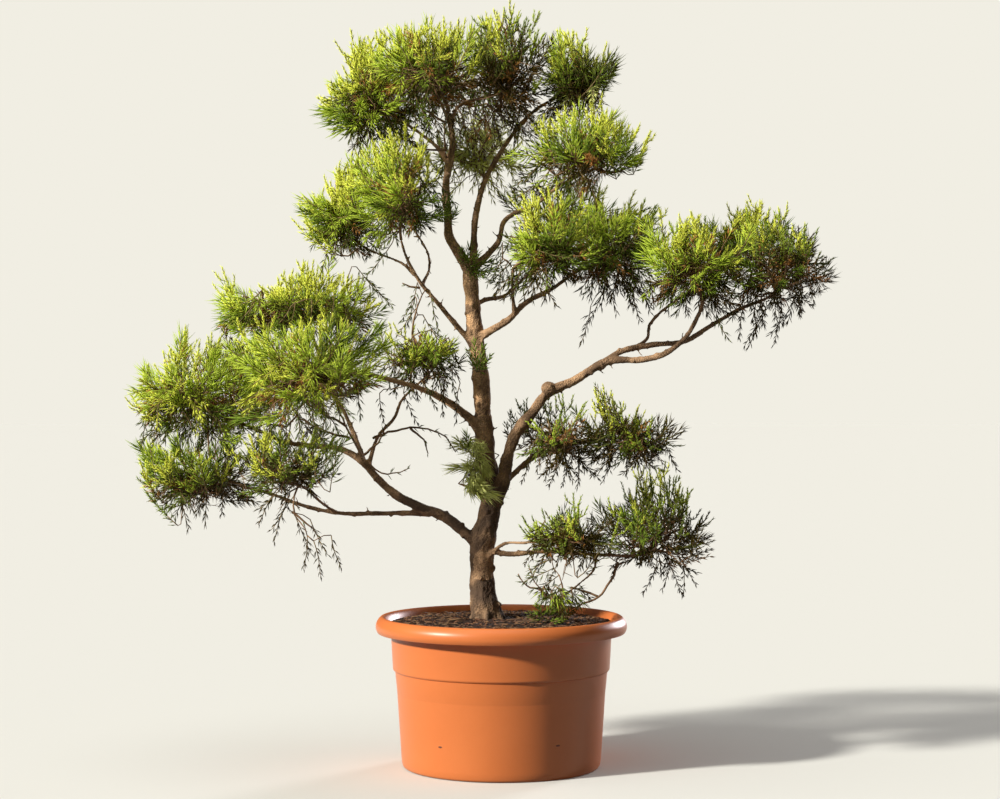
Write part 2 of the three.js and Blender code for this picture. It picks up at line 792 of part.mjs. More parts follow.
// Where a mass's sprays end, spread evenly over its space by the golden angle.
function sprayPlaces(mass) {
  const count = Math.max(FEWEST_SPRAYS, Math.round(surfaceOf(mass.reach) / SPRAY_SPACING ** 2));
  const places = [];
  for (let i = 0; i < count; i++) {
    const height = 1 - ((1 - LOWEST_SPRAY) * (i + 0.5)) / count;
    const angle = i * GOLDEN_ANGLE;
    const flat = Math.sqrt(1 - height * height);
    const out = vector(flat * Math.cos(angle), flat * Math.sin(angle), height);
    places.push({ out, depth: i % INNER_EVERY === INNER_EVERY - 1 ? INNER_DEPTH : 1 });
  }
  return places;
}

// The way a spray points: outwards and up, or outwards and down where the mass hangs.
function aimOf(mass, out, chance) {
  const upright = out.z > 0 ? LIFTS.upper : LIFTS.lower;
  return vector(
    AIM_SPREAD * out.x + AIM_SCATTER * (chance() - 0.5),
    AIM_SPREAD * out.y + AIM_SCATTER * (chance() - 0.5),
    AIM_RISE * out.z + (mass.hangs ? LIFTS.hanging : upright),
  ).normalize();
}

// The bud that a twig to this point grows from: near, facing it, and not a long way out already.
function pickBud(skin, base) {
  let best = null;
  let least = Infinity;
  for (const bud of skin.buds) {
    const way = base.clone().sub(bud.middle);
    const cost = way.length() + RUN_COST * bud.run;
    if (cost < least && way.normalize().dot(skin.normalOf(skin.faces[bud.face])) > LEAST_FACING) {
      least = cost;
      best = bud;
    }
  }
  return best;
}

// The rings of a twig and of its spray's core, from the bud to the tip, and its needles as pairs of points.
function planSpray(skin, bud, base, aim, size, chance) {
  const way = base.clone().sub(bud.middle);
  const length = way.length();
  way.normalize();
  const stations = [{ centre: along(bud.middle, way, COLLAR_LENGTH), axis: way, radius: COLLAR_RADIUS }];
  if (length > LONG_TWIG) {
    for (const rise of [-TWIG_BUD, TWIG_BUD]) {
      const centre = along(bud.middle, way, length / 2 + rise);
      stations.push({ centre, axis: way, radius: TWIG_RADIUS, buds: rise > 0 });
    }
  }
  CORE_PLACES.forEach((place, i) =>
    stations.push({
      centre: along(base, aim, place * SPRAY_LENGTH * size),
      axis: i ? aim : way.clone().add(aim).normalize(),
      radius: CORE_RADII[i] * size,
      whorl: i % 2 === 1,
    }),
  );
  let normal = skin.points[skin.faces[bud.face][0]].clone().sub(bud.middle);
  for (const station of stations) {
    const ring = ringAt(station.centre, station.axis, normal, station.radius, 3);
    normal = ring.normal;
    station.ring = ring.points;
  }
  const needles = [];
  stations.forEach((station, i) => {
    if (!station.whorl) return;
    station.tips = [];
    for (let k = 0; k < 3; k++)
      for (const upper of [false, true]) {
        const [a, b] = [stations[i - 1].ring, station.ring];
        const next = (k + 1) % 3;
        const corners = upper ? [a[k], b[next], b[k]] : [a[k], a[next], b[next]];
        const root = centreOf(corners);
        const away = root.clone().sub(base);
        away.addScaledVector(aim, -away.dot(aim)).normalize();
        const lean = NEEDLE_LEAN * spread(LEAN_SPREAD, chance);
        const reach = NEEDLE_LENGTH * size * spread(LENGTH_SPREAD, chance);
        const tip = along(along(root, aim, reach * Math.cos(lean)), away, reach * Math.sin(lean));
        station.tips.push(tip);
        needles.push([root, tip]);
      }
  });
  return { stations, needles, run: bud.run + length };
}

// Grows a planned twig and spray out of its bud's face.
function growSpray(skin, bud, plan, end) {
  let last = skin.faces[bud.face];
  const first = skin.faces.length;
  let taken = false;
  for (const station of plan.stations) {
    const start = skin.faces.length;
    last = skin.band(last, station.ring, station.buds ? { run: plan.run * TWIG_RUN_SHARE } : null);
    if (station.whorl) station.tips.forEach((tip, k) => skin.raise(start + k, tip));
    if (!taken) {
      // The first side of the twig takes the place of the bud's own face.
      skin.faces[bud.face] = skin.faces[start];
      taken = true;
    }
  }
  skin.faces.splice(first, 1);
  for (const other of skin.buds) if (other.face > first) other.face--;
  skin.buds.splice(skin.buds.indexOf(bud), 1);
  skin.faces.push([...last]);
  skin.raise(skin.faces.length - 1, end);
}

// Whether a twig and its spray keep to the mass's space, clear of the limbs and of the other sprays.
function sprayFits(mass, root, base, end, needles, limbs, threads) {
  const length = root.distanceTo(base);
  if (length < JOINT_FREE) return false;
  const twig = [root.clone().lerp(base, JOINT_FREE / length), base];
  const core = [base, end];
  const beyondMiddle = needles.map(([foot, tip]) => foot.clone().lerp(tip, NEEDLE_TEST));
  const inside = [end, ...beyondMiddle, ...needles.map(([, tip]) => tip)];
  const apart = (thread) => threads.every((other) => threadGap(thread, other) > SPRAY_MARGIN);
  return (
    inside.every((point) => inOwnSpace(mass, point, 1)) &&
    twig.every((point) => inOwnSpace(mass, point, LOOSE_EDGE)) &&
    [twig, core, ...needles].every((thread) => clearOfLimbs(thread, limbs) && apart(thread))
  );
}

// A mass: its stem, and each twig and spray that finds room.
function massSolid(mass, index, limbs) {
  const chance = randomFrom(1000 + index);
  const skin = new Skin();
  const threads = growStem(skin, mass, stemFoot(mass, limbs));
  const fullSize = Math.min(1, Math.min(...mass.reach) / FULL_SIZE_REACH);
  for (const { out, depth } of sprayPlaces(mass)) {
    for (const [pull, share] of TRIES) {
      const size = share * fullSize;
      const aim = aimOf(mass, out, chance);
      const way = vector(...mass.reach).multiply(out).multiplyScalar(depth * pull);
      const end = way.add(vector(...mass.centre));
      const base = along(end, aim, -SPRAY_LENGTH * size);
      const bud = pickBud(skin, base);
      if (!bud) continue;
      const plan = planSpray(skin, bud, base, aim, size, chance);
      const lines = [...limbs.values()];
      if (!sprayFits(mass, bud.middle, base, end, plan.needles, lines, threads)) continue;
      threads.push([bud.middle, base], [base, end], ...plan.needles);
      growSpray(skin, bud, plan, end);
      break;
    }
  }
  const solid = solidFrom(skin.points, skin.faces);
  return mass.from === "trunk" ? mainPiece(solid.subtract(limbs.get("trunk").grown)) : solid;
}

const plant = new THREE.Group();
plant.name = "virginia_pine_bonsai";
plant.add(meshOf("pot", potSolid(), "pot"));
plant.add(meshOf("soil", soilSolid(), "soil"));
const limbs = buildLimbs();
for (const limb of limbs.values()) plant.add(meshOf(limb.name, limb.solid, "bark"));
MASSES.forEach((mass, index) => plant.add(meshOf(mass.name, massSolid(mass, index, limbs), "needles")));

export default plant;
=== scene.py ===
"""A virginia pine trained as a bonsai, in a round nursery pot.

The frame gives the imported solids, and this script dresses them: bark with relief, foliage that grows on
from the boughs, a moulded pot, and soil with bark chips. Tables are in millimetres, meshes in metres.
"""

import math

import bpy
import numpy as np
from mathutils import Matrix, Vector, kdtree, noise


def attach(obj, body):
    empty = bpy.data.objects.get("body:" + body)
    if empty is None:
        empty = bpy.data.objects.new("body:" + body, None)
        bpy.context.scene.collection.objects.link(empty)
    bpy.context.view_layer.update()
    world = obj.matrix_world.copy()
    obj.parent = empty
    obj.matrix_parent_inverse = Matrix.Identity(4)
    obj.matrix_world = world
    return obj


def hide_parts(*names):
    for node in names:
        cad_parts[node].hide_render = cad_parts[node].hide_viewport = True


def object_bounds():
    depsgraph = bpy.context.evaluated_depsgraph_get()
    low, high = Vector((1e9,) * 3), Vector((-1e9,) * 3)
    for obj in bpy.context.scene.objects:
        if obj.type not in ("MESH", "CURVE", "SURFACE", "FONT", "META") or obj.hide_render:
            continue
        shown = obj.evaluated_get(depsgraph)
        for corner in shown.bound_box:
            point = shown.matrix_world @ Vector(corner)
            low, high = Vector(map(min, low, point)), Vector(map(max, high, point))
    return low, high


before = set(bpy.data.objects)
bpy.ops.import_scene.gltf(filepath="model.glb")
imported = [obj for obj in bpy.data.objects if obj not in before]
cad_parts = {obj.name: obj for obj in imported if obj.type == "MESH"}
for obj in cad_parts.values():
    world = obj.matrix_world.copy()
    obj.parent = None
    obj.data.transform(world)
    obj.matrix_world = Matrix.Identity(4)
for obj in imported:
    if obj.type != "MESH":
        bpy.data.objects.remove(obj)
cad_low, cad_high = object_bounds()

MM = 0.001

# Without a seed, Blender's noise vectors differ from run to run.
NOISE_SEED = 41
noise.seed_set(NOISE_SEED)

# The camera stands level with the middle of the crown.
CAMERA_LENS = 75.6
CAMERA_SENSOR = 36.0
CAMERA_PLACE = (-2.6, -4180.0, 728.0)
# The photo's column and row that the pot's axis and the camera's height fall on, and its scale at the axis.
PHOTO_MIDDLE = (501.3, 399.5)
MM_PER_PIXEL = 1.99

# Studio: paper, soft fill, and lamps by name, direction to the lamp, strength, spread in degrees, tint.
PAPER_TONE = (0.879, 0.855, 0.768, 1)
FLOOR_TONE = (0.765, 0.77, 0.718, 1)
FILL_TONE = (1.0, 0.95, 0.92, 1)
FILL_STRENGTH = 0.1
LAMPS = [
    ("key_lamp", (-0.78, -0.43, 0.45), 4.8, 5.0, (1.0, 0.965, 0.9)),
    ("top_lamp", (-0.1, -0.15, 1.0), 0.7, 50.0, (1.0, 1.0, 1.0)),
    ("rim_lamp", (0.6, 0.85, 0.25), 1.9, 15.0, (1.0, 0.93, 0.98)),
]

# Pot
POT_HEIGHT = 298.0
BASE_RADIUS = 197.0
STEP_HEIGHT = 190.0
BELOW_STEP_RADIUS = 209.5
ABOVE_STEP_RADIUS = 215.5
NECK_RADIUS = 219.5
RIM_RADIUS = 250.0
RIM_MOUTH_RADIUS = 226.0
RIM_UNDERSIDE = 265.0
WALL = 4.0
POT_SIDES = 192
# Marks from moulding, painted dark as the shade in their dents: x and z; and their half sizes outwards,
# along and up.
MOULD_MARKS = [(-117, 63), (108, 67)]
MARK_SIZE = (0.6, 4.6, 2.0)

# Soil
SOIL_EDGE_HEIGHT = 284.0
SOIL_TOP_HEIGHT = 292.7
SOIL_LEVEL_RADIUS = 90.0
SOIL_SLOPE_RADIUS = 175.0
SOIL_RADIUS = 224.0

# Trunk: x, y, z and radius of the stations up its centre line.
TRUNK_STATIONS = [
    (-28, 6, 289, 35), (-33, 6, 312, 28.5), (-37, 6, 350, 26.4), (-39, 5, 408, 25.2),
    (-36, 5, 455, 26), (-26, 5, 490, 24), (-20, 4, 530, 22), (-23, 4, 570, 20.5),
    (-31, 3, 625, 19.4), (-36, 3, 690, 18.6), (-39, 2, 750, 17.4), (-45, 2, 810, 16.8),
    (-53, 1, 870, 16.6), (-58, 1, 930, 16.2), (-62, 0, 970, 15.2), (-61, 0, 1006, 14.6),
]

# Leaders and boughs: the limb each grows from, its radii at foot and tip, and its path.
BOUGHS = [
    {"name": "leader_left", "from": "trunk", "radii": (11.5, 4.5), "path": [
        (-62, 0, 982), (-86, 0, 1022), (-104, 0, 1053), (-106, -3, 1095), (-110, -6, 1144),
        (-106, -9, 1194), (-96, -12, 1237), (-100, -16, 1270), (-104, -20, 1297)]},
    {"name": "leader_left_side", "from": "leader_left", "radii": (4.2, 3), "path": [
        (-100, -16, 1266), (-88, -10, 1307), (-62, -4, 1321), (-27, 6, 1333)]},
    {"name": "leader_left_branch", "from": "leader_left", "radii": (4.5, 3), "path": [
        (-104, -9, 1192), (-126, -12, 1227), (-165, -12, 1259), (-209, -10, 1287)]},
    {"name": "leader_back", "from": "leader_left", "radii": (4.8, 3.2), "path": [
        (-106, -7, 1172), (-97, 38, 1225), (-104, 86, 1279), (-121, 122, 1329)]},
    {"name": "leader_middle", "from": "trunk", "radii": (8, 3.6), "path": [
        (-56, 2, 986), (-55, 16, 1037), (-51, 20, 1097), (-33, 28, 1166), (-11, 34, 1208), (28, 45, 1268),
        (64, 48, 1307), (96, 45, 1328)]},
    {"name": "leader_middle_back", "from": "leader_middle", "radii": (3.4, 2.8), "path": [
        (-33, 28, 1166), (-36, 58, 1178), (-44, 86, 1190), (-50, 102, 1200)]},
    {"name": "leader_right", "from": "trunk", "radii": (7, 3.6), "path": [
        (-54, 2, 990), (-26, -8, 1017), (-5, -14, 1042), (5, -18, 1080), (27, -22, 1097), (61, -27, 1109),
        (94, -34, 1134)]},
    {"name": "bough_upper_left", "from": "trunk", "radii": (6.2, 3), "path": [
        (-58, 0, 840), (-90, -12, 876), (-137, -30, 932), (-158, -40, 956), (-177, -52, 988),
        (-189, -62, 1015), (-196, -70, 1040)]},
    {"name": "bough_upper_left_side", "from": "bough_upper_left", "radii": (3.4, 2.6), "path": [
        (-172, -47, 975), (-196, -34, 997), (-220, -24, 1008), (-249, -10, 1019)]},
    {"name": "bough_upper_left_back", "from": "bough_upper_left", "radii": (3.4, 2.6), "path": [
        (-156, -39, 954), (-144, 10, 988), (-148, 60, 1022), (-164, 105, 1053), (-179, 135, 1076)]},
    {"name": "bough_upper_right", "from": "trunk", "radii": (8.6, 3.6), "path": [
        (-58, 0, 844), (-22, -14, 864), (13, -22, 885), (51, -25, 921), (100, -26, 947), (140, -24, 976)]},
    {"name": "bough_upper_right_fork", "from": "bough_upper_right", "radii": (4.6, 3), "path": [
        (27, -23, 895), (23, -46, 930), (21, -82, 973)]},
    {"name": "bough_back_right", "from": "trunk", "radii": (5.4, 3.4), "path": [
        (-60, 0, 908), (-35, 30, 927), (5, 80, 938), (47, 132, 977)]},
    {"name": "bough_big_right", "from": "trunk", "radii": (15, 4.2), "path": [
        (-24, 3, 496), (3, -14, 560), (11, -20, 608), (29, -26, 660), (61, -30, 701), (90, -33, 739),
        (145, -34, 766), (211, -34, 804), (273, -46, 806), (319, -58, 817), (361, -70, 850),
        (388, -82, 899)]},
    {"name": "bough_big_right_upper", "from": "bough_big_right", "radii": (7, 3.8), "path": [
        (195, -34, 794), (235, -24, 822), (295, -12, 836), (365, -6, 844), (415, -4, 874), (475, -2, 908),
        (531, 0, 930)]},
    {"name": "bough_big_right_back", "from": "bough_big_right_upper", "radii": (4, 3), "path": [
        (259, -18, 828), (291, 14, 849), (300, 54, 880), (339, 96, 918), (404, 132, 959)]},
    {"name": "bough_mid_right", "from": "trunk", "radii": (6.4, 3.4), "path": [
        (-23, 4, 528), (11, 16, 565), (58, 36, 607), (118, 52, 632), (200, 68, 650), (253, 80, 670)]},
    {"name": "bough_mid_right_side", "from": "bough_mid_right", "radii": (3.8, 2.8), "path": [
        (45, 30, 597), (69, 4, 621), (88, -34, 634), (103, -62, 643)]},
    {"name": "bough_low_right", "from": "trunk", "radii": (6.6, 3.4), "path": [
        (-38, 4, 380), (-24, -12, 423), (21, -24, 422), (86, -26, 428), (166, -16, 422), (240, 0, 417)]},
    {"name": "bough_low_right_side", "from": "bough_low_right", "radii": (4.2, 2.8), "path": [
        (-24, -13, 418), (5, -34, 443), (44, -66, 447), (75, -90, 452)]},
    {"name": "bough_low_right_loop", "from": "bough_low_right", "radii": (2.8, 2.4), "path": [
        (188, -12, 419), (183, -24, 391), (155, -48, 367), (127, -66, 347)]},
    {"name": "bough_low_left", "from": "trunk", "radii": (12.5, 3.8), "path": [
        (-28, 4, 424), (-72, -6, 463), (-112, -14, 495), (-165, -22, 517), (-208, -25, 539),
        (-246, -25, 573), (-276, -22, 606), (-320, -14, 630), (-376, -6, 636), (-430, -2, 643),
        (-476, 0, 663)]},
    {"name": "bough_low_left_up", "from": "bough_low_left", "radii": (5.4, 3.4), "path": [
        (-268, -22, 596), (-294, 6, 659), (-315, 28, 703), (-345, 46, 755), (-370, 58, 824),
        (-384, 62, 868)]},
    {"name": "bough_low_left_right", "from": "bough_low_left", "radii": (4.4, 2.8), "path": [
        (-264, -23, 594), (-244, -28, 654), (-212, -33, 691), (-196, -37, 727), (-168, -40, 755),
        (-146, -42, 774)]},
    {"name": "bough_low_left_side", "from": "bough_low_left", "radii": (5.8, 3.2), "path": [
        (-141, -19, 503), (-177, -18, 503), (-241, -12, 502), (-321, -4, 502), (-391, 0, 516),
        (-464, 0, 542), (-532, 0, 558)]},
    {"name": "bough_low_left_side_up", "from": "bough_low_left_side", "radii": (3.4, 2.8), "path": [
        (-327, -4, 502), (-353, -44, 524), (-381, -86, 554)]},
    {"name": "bough_mid_left", "from": "trunk", "radii": (7.4, 3.8), "path": [
        (-40, 2, 671), (-74, -12, 703), (-113, -32, 729), (-160, -56, 751), (-206, -80, 764),
        (-251, -104, 777)]},
    {"name": "bough_back_left", "from": "trunk", "radii": (6.8, 3.8), "path": [
        (-42, 4, 661), (-77, 52, 699), (-117, 100, 725), (-167, 146, 750), (-218, 176, 764),
        (-269, 196, 777)]},
]

# Masses of foliage: the limb each grows from, centre, half sizes, how much painted sunlight its needles get,
# and for some how long ("needle"), how often they take the brightly lit colour, which is painted light, and
# how often missing below ("thin"). Shoots that are set one by one are read off the photo by where they end:
# column, row, and millimetres behind the pot's axis. A tuft's row starts with the foot that its shoots
# share, and a bare twig's row is its whole line.
MASSES = [
    {"name": "foliage_crown_left", "from": "leader_left_branch",
     "centre": (-266, -10, 1345), "reach": (110, 130, 118), "sun": 0.9,
     "tips": [
        (318,95,0), (327,89,-30), (337,76,20), (350,40,-20), (349,52,30), (321,108,-10), (365,34,0),
        (319,98,-30)],
     "wisps": [
        (330,110,-30), (345,124,-30), (352,110,-40), (400,128,-60), (425,128,-60), (440,118,-50),
        (395,150,-50), (360,132,-30), (410,148,-60), (385,146,-20), (420,150,-40)],
     "brushes": [
        (330,112,-70), (345,118,-90), (360,105,-120), (375,118,-120), (395,105,-130), (324,112,-40),
        (332,122,-40), (340,130,-40)],
     "fills": [
        (325,100,-20), (330,112,-30), (338,124,-30), (348,132,-40), (330,120,0), (342,112,-60),
        (322,108,10), (350,142,-40), (358,140,-50), (336,104,-60), (327,116,20), (344,136,0), (334,130,10),
        (352,122,-70), (352,148,0), (364,144,10), (376,148,0), (388,142,-10), (400,138,0), (412,132,-10),
        (372,134,20), (384,128,10), (396,124,20), (408,120,10), (420,116,0), (360,152,20), (392,150,10),
        (404,150,0), (416,146,-10), (380,120,30), (424,128,0), (400,112,30)],
     "dead": [
        (388,86,-75), (398,92,-70), (378,82,-70)],
     "bare": [
        [(444,122,-50), (420,108,-80), (401,101,-90), (384,104,-100)],
        [(447,150,-30), (430,150,-45), (410,144,-55)]]},
    {"name": "foliage_crown_top", "from": "leader_left",
     "centre": (-143, -70, 1380), "reach": (116, 130, 122), "sun": 0.55,
     "tips": [
        (385,24,-60), (398,26,-100), (412,20,-40), (431,13,-60), (447,20,-90), (466,16,-70)],
     "wisps": [
        (470,158,-40), (486,163,-30), (455,150,-70), (440,140,-80), (478,148,-60), (463,140,-50),
        (425,138,-60), (435,146,-40)],
     "dead": [
        (456,98,-70), (470,104,-60), (440,104,-70)],
     "bare": [
        [(452,112,-70), (470,100,-100), (488,98,-110), (502,92,-110)]]},
    {"name": "foliage_crown_right", "from": "leader_left_side",
     "centre": (7, 10, 1375), "reach": (98, 130, 145), "sun": -0.05, "needle": 0.85,
     "tips": [
        (480,14,-20), (493,6,0), (503,10,-30), (515,1,10), (528,14,-10), (542,10,30)],
     "wisps": [
        (505,152,-20), (520,142,0), (535,128,-20), (515,132,20)],
     "fills": [
        (535,70,30), (540,85,20), (535,100,30), (545,95,10), (540,110,20), (530,118,30), (530,88,60),
        (526,106,50)]},
    {"name": "foliage_crown_back", "from": "leader_back",
     "centre": (-135, 170, 1398), "reach": (182, 120, 116), "sun": 0.45,
     "fills": [
        (392,126,110), (404,134,100), (416,124,120), (428,134,110), (440,126,100), (452,136,120),
        (464,126,110), (476,136,100), (488,126,120), (500,134,110), (512,126,100), (524,134,120),
        (534,124,110), (398,144,90), (412,146,100), (446,146,100), (470,146,100), (494,144,100),
        (516,144,100), (385,134,90), (374,140,80), (362,130,90), (350,126,80), (408,112,100),
        (436,112,100), (466,112,100), (506,112,100)]},
    {"name": "foliage_crown_low", "from": "leader_middle_back",
     "centre": (-48, 112, 1232), "reach": (120, 85, 88), "sun": 1.1, "lit_paint_share": 0.85, "thin": 0.5,
     "wisps": [
        (455,190,60), (470,196,80), (482,200,60), (495,205,80), (508,198,60), (520,190,80), (440,180,90),
        (430,190,80), (515,178,40), (462,178,50), (490,186,40), (455,130,20), (465,122,10), (478,128,0),
        (490,120,10), (500,130,0), (470,140,20), (486,140,10), (500,145,10), (512,138,20), (520,128,10),
        (528,140,20), (510,120,10), (540,135,30), (534,150,30), (518,155,20), (496,158,30), (476,155,20),
        (460,150,30)]},
    {"name": "foliage_top_right", "from": "leader_middle",
     "centre": (164, 40, 1372), "reach": (92, 120, 112), "sun": 0.25, "lit_paint_share": 0.08,
     "tips": [
        (556,27,30), (570,36,50), (585,42,20), (600,52,40), (612,50,30), (618,62,40), (604,78,20),
        (560,26,30), (567,28,30), (575,30,40), (583,35,40)],
     "wisps": [
        (560,128,30), (580,124,50), (545,135,30)],
     "fills": [
        (548,75,30), (552,90,20), (550,104,30), (556,112,20), (546,118,40), (540,56,40), (548,60,50),
        (542,70,60), (550,82,50), (544,92,60), (552,98,50), (540,104,50), (548,112,60), (556,122,50),
        (538,118,60), (566,118,40), (576,114,30), (536,80,70), (560,106,60)]},
    {"name": "foliage_upper_right", "from": "leader_right",
     "centre": (182, -60, 1208), "reach": (132, 130, 112), "sun": 0.6,
     "tips": [
        (603,108,-50), (622,118,-60), (640,126,-70), (652,128,-60), (648,150,-60), (590,112,-90)],
     "wisps": [
        (540,200,-60), (560,196,-50), (585,198,-50), (530,180,-40), (540,150,-60), (525,140,-50),
        (520,188,-60), (530,194,-70), (512,190,-50)],
     "brushes": [
        (560,150,-140), (575,135,-130), (620,150,-140), (590,145,-170), (635,160,-120)],
     "fills": [
        (530,140,-20), (540,148,-30), (526,152,-20), (520,180,-20), (512,200,-20), (508,215,-20),
        (534,130,0), (524,166,-10), (516,190,0)],
     "dead": [
        (588,157,-190), (594,160,-190)]},
    {"name": "foliage_upper_left", "from": "bough_upper_left",
     "centre": (-189, -90, 1128), "reach": (101, 120, 125), "sun": 0.8,
     "tips": [
        (372,136,-90), (386,140,-110), (430,150,-80)],
     "wisps": [
        (363,280,-60), (380,262,-80), (400,250,-90), (420,245,-70), (440,206,-60), (452,214,-50),
        (446,226,-50), (460,210,-30), (436,192,-70)],
     "brushes": [
        (375,205,-200), (395,190,-200), (432,200,-150), (440,215,-120), (360,215,-180)],
     "tufts": [
        [(466,266,-30), (462,250,-60), (478,254,-70), (490,260,-50), (484,276,-70), (470,246,-50),
         (496,270,-60)],
        [(447,222,-25), (438,206,-50), (450,200,-60), (444,196,-40), (456,212,-60)]],
     "bare": [
        [(420,288,-40), (410,286,-45), (402,283,-48)],
        [(447,158,-20), (444,140,-24), (446,118,-40)]]},
    {"name": "foliage_upper_left_far", "from": "bough_upper_left_side",
     "centre": (-317, 0, 1097), "reach": (107, 130, 106), "sun": 0.75,
     "tips": [
        (297,200,0), (303,214,-20), (313,190,20), (330,178,0), (352,148,-10), (340,168,10), (301,232,10)],
     "wisps": [
        (320,276,0), (335,262,-10), (308,252,0), (345,255,20)],
     "brushes": [
        (305,212,-60), (318,222,-90), (325,205,-80), (345,215,-90)]},
    {"name": "foliage_upper_left_back", "from": "bough_upper_left_back",
     "centre": (-248, 195, 1154), "reach": (129, 120, 112), "sun": 0.5, "thin": 0.2,
     "fills": [
        (352,250,90), (366,258,90), (340,246,80)]},
    {"name": "foliage_right", "from": "bough_upper_right_fork",
     "centre": (86, -130, 1024), "reach": (100, 120, 104), "sun": 0.5,
     "tips": [
        (520,190,-130), (560,188,-150)],
     "wisps": [
        (520,305,-110), (545,300,-130), (560,312,-120), (535,292,-100), (490,283,-60), (500,295,-70),
        (510,280,-80), (520,297,-90), (495,268,-60), (485,272,-40), (485,288,-60), (492,300,-70),
        (505,292,-80), (500,305,-60), (512,300,-90)],
     "brushes": [
        (545,240,-190), (566,205,-150), (528,240,-170), (590,262,-170), (560,268,-180), (520,258,-160)],
     "fills": [
        (515,225,-60), (505,235,-60), (512,245,-70), (485,272,-40), (492,282,-50), (500,276,-60),
        (508,286,-60), (515,278,-70), (496,292,-60), (510,296,-70), (522,288,-80), (532,298,-90),
        (545,300,-90)]},
    {"name": "foliage_right_far", "from": "bough_upper_right",
     "centre": (223, -15, 1026), "reach": (112, 130, 112), "sun": 0.3,
     "tips": [
        (600,186,-20), (625,200,-10), (646,196,0), (661,204,-20)],
     "wisps": [
        (580,348,-10), (588,325,-15), (600,312,-10), (615,300,0), (640,296,0), (655,312,-20),
        (675,308,-10), (600,292,-20), (580,300,-30), (610,305,-10), (622,298,0), (632,304,0), (646,302,0),
        (618,318,-10), (636,312,0), (652,318,0), (642,326,0)],
     "brushes": [
        (600,228,-120), (628,222,-110), (645,250,-100), (612,262,-120)],
     "fills": [
        (600,290,-10), (610,300,0), (620,292,-20), (630,304,-10), (640,294,-20), (650,306,-20),
        (590,298,0), (580,290,0), (622,284,20), (640,284,20)]},
    {"name": "foliage_right_back", "from": "bough_back_right",
     "centre": (147, 195, 1089), "reach": (154, 130, 112), "sun": 0.4, "thin": 0.25,
     "fills": [
        (500,196,80), (512,188,90), (524,196,80), (536,184,90), (548,192,80), (560,180,90), (520,172,80)]},
    {"name": "foliage_far_right_front", "from": "bough_big_right",
     "centre": (376, -100, 988), "reach": (112, 120, 120), "sun": 0.5,
     "tips": [
        (668,220,-100), (690,208,-110), (706,222,-90)],
     "wisps": [
        (722,330,-70), (732,345,-70), (700,320,-80), (670,310,-100), (655,300,-90)],
     "brushes": [
        (722,262,-170), (716,278,-160), (700,248,-150), (712,290,-150)],
     "fills": [
        (660,298,-40), (668,310,-50), (678,302,-60), (688,314,-50), (698,306,-60), (708,316,-50),
        (718,306,-60), (672,292,-30), (690,296,-30), (705,298,-20), (728,314,-40), (740,318,-30)]},
    {"name": "foliage_far_right", "from": "bough_big_right_upper",
     "centre": (560, 0, 1004), "reach": (126, 150, 122), "sun": 0.06, "needle": 0.85,
     "tips": [
        (735,212,-10), (760,197,0), (778,204,20), (795,222,0), (815,240,10), (838,256,0), (836,272,-20),
        (826,290,10), (745,205,-40)],
     "wisps": [
        (745,354,-20), (757,340,-10), (773,350,0), (785,330,10), (800,322,20), (815,310,20), (735,318,-10),
        (720,312,-20), (730,335,-20), (738,345,-20), (742,350,-20), (726,326,-20)],
     "brushes": [
        (782,284,-120), (745,262,-130), (800,270,-90)],
     "fills": [
        (752,322,0), (764,326,10), (776,320,0), (788,322,10), (800,314,0), (812,306,10), (758,312,30),
        (782,312,30), (770,334,0)]},
    {"name": "foliage_far_right_back", "from": "bough_big_right_back",
     "centre": (490, 172, 1046), "reach": (141, 120, 112), "sun": 0.4, "thin": 0.25},
    {"name": "foliage_mid_right", "from": "bough_mid_right_side",
     "centre": (108, -95, 655), "reach": (110, 115, 92), "sun": 0.08, "needle": 0.75, "thin": 0.08,
     "tips": [
        (512,403,40), (562,390,30), (540,394,40), (524,398,50), (508,418,40)],
     "wisps": [
        (520,488,-80), (545,485,-90), (560,492,-80), (535,478,-100), (575,487,-70), (580,478,-40),
        (572,470,-50), (530,462,-50), (522,456,-40)],
     "fills": [
        (506,424,40), (512,414,40), (508,440,40), (516,430,30), (512,452,30), (520,446,30), (526,466,-50),
        (526,420,40), (534,412,40), (524,434,40), (536,426,40), (544,408,40), (520,408,50), (532,440,30),
        (546,420,40), (505,432,45), (514,422,50), (528,408,50), (548,400,40), (556,410,30), (522,428,50),
        (538,418,50), (530,426,60), (510,412,60), (542,432,40), (540,476,-60), (555,470,-70),
        (570,478,-60), (585,470,-50), (598,478,-40), (548,486,-60), (578,486,-60)]},
    {"name": "foliage_mid_right_far", "from": "bough_mid_right",
     "centre": (262, 90, 648), "reach": (118, 140, 96), "sun": 0.04, "needle": 0.75, "thin": 0.1,
     "tips": [
        (600,386,60), (640,402,90), (668,412,100), (676,424,80), (594,384,60), (602,381,70), (610,389,60)],
     "wisps": [
        (600,488,90), (625,482,100), (645,488,90), (668,470,90), (600,460,60), (612,470,60), (620,462,60),
        (590,466,40), (606,478,60), (626,474,70)],
     "fills": [
        (610,470,60), (622,474,60), (634,468,60), (648,462,50), (596,386,40), (606,394,30), (600,402,40),
        (614,404,30)]},
    {"name": "foliage_low_right", "from": "bough_low_right_side",
     "centre": (133, -115, 465), "reach": (110, 125, 78), "sun": -0.05, "needle": 0.75, "thin": 0.3,
     "tips": [
        (520,512,-100), (556,508,-120), (578,500,-120)],
     "wisps": [
        (530,580,-100), (548,585,-110), (575,580,-100), (524,558,-90), (530,566,-90), (536,560,-90),
        (522,570,-90)]},
    {"name": "foliage_low_right_far", "from": "bough_low_right",
     "centre": (312, 30, 458), "reach": (128, 160, 132), "sun": -0.1, "needle": 0.75, "thin": 0.3,
     "tips": [
        (636,462,30), (650,470,10), (662,466,50), (688,486,30), (704,512,20), (716,534,30), (714,556,0),
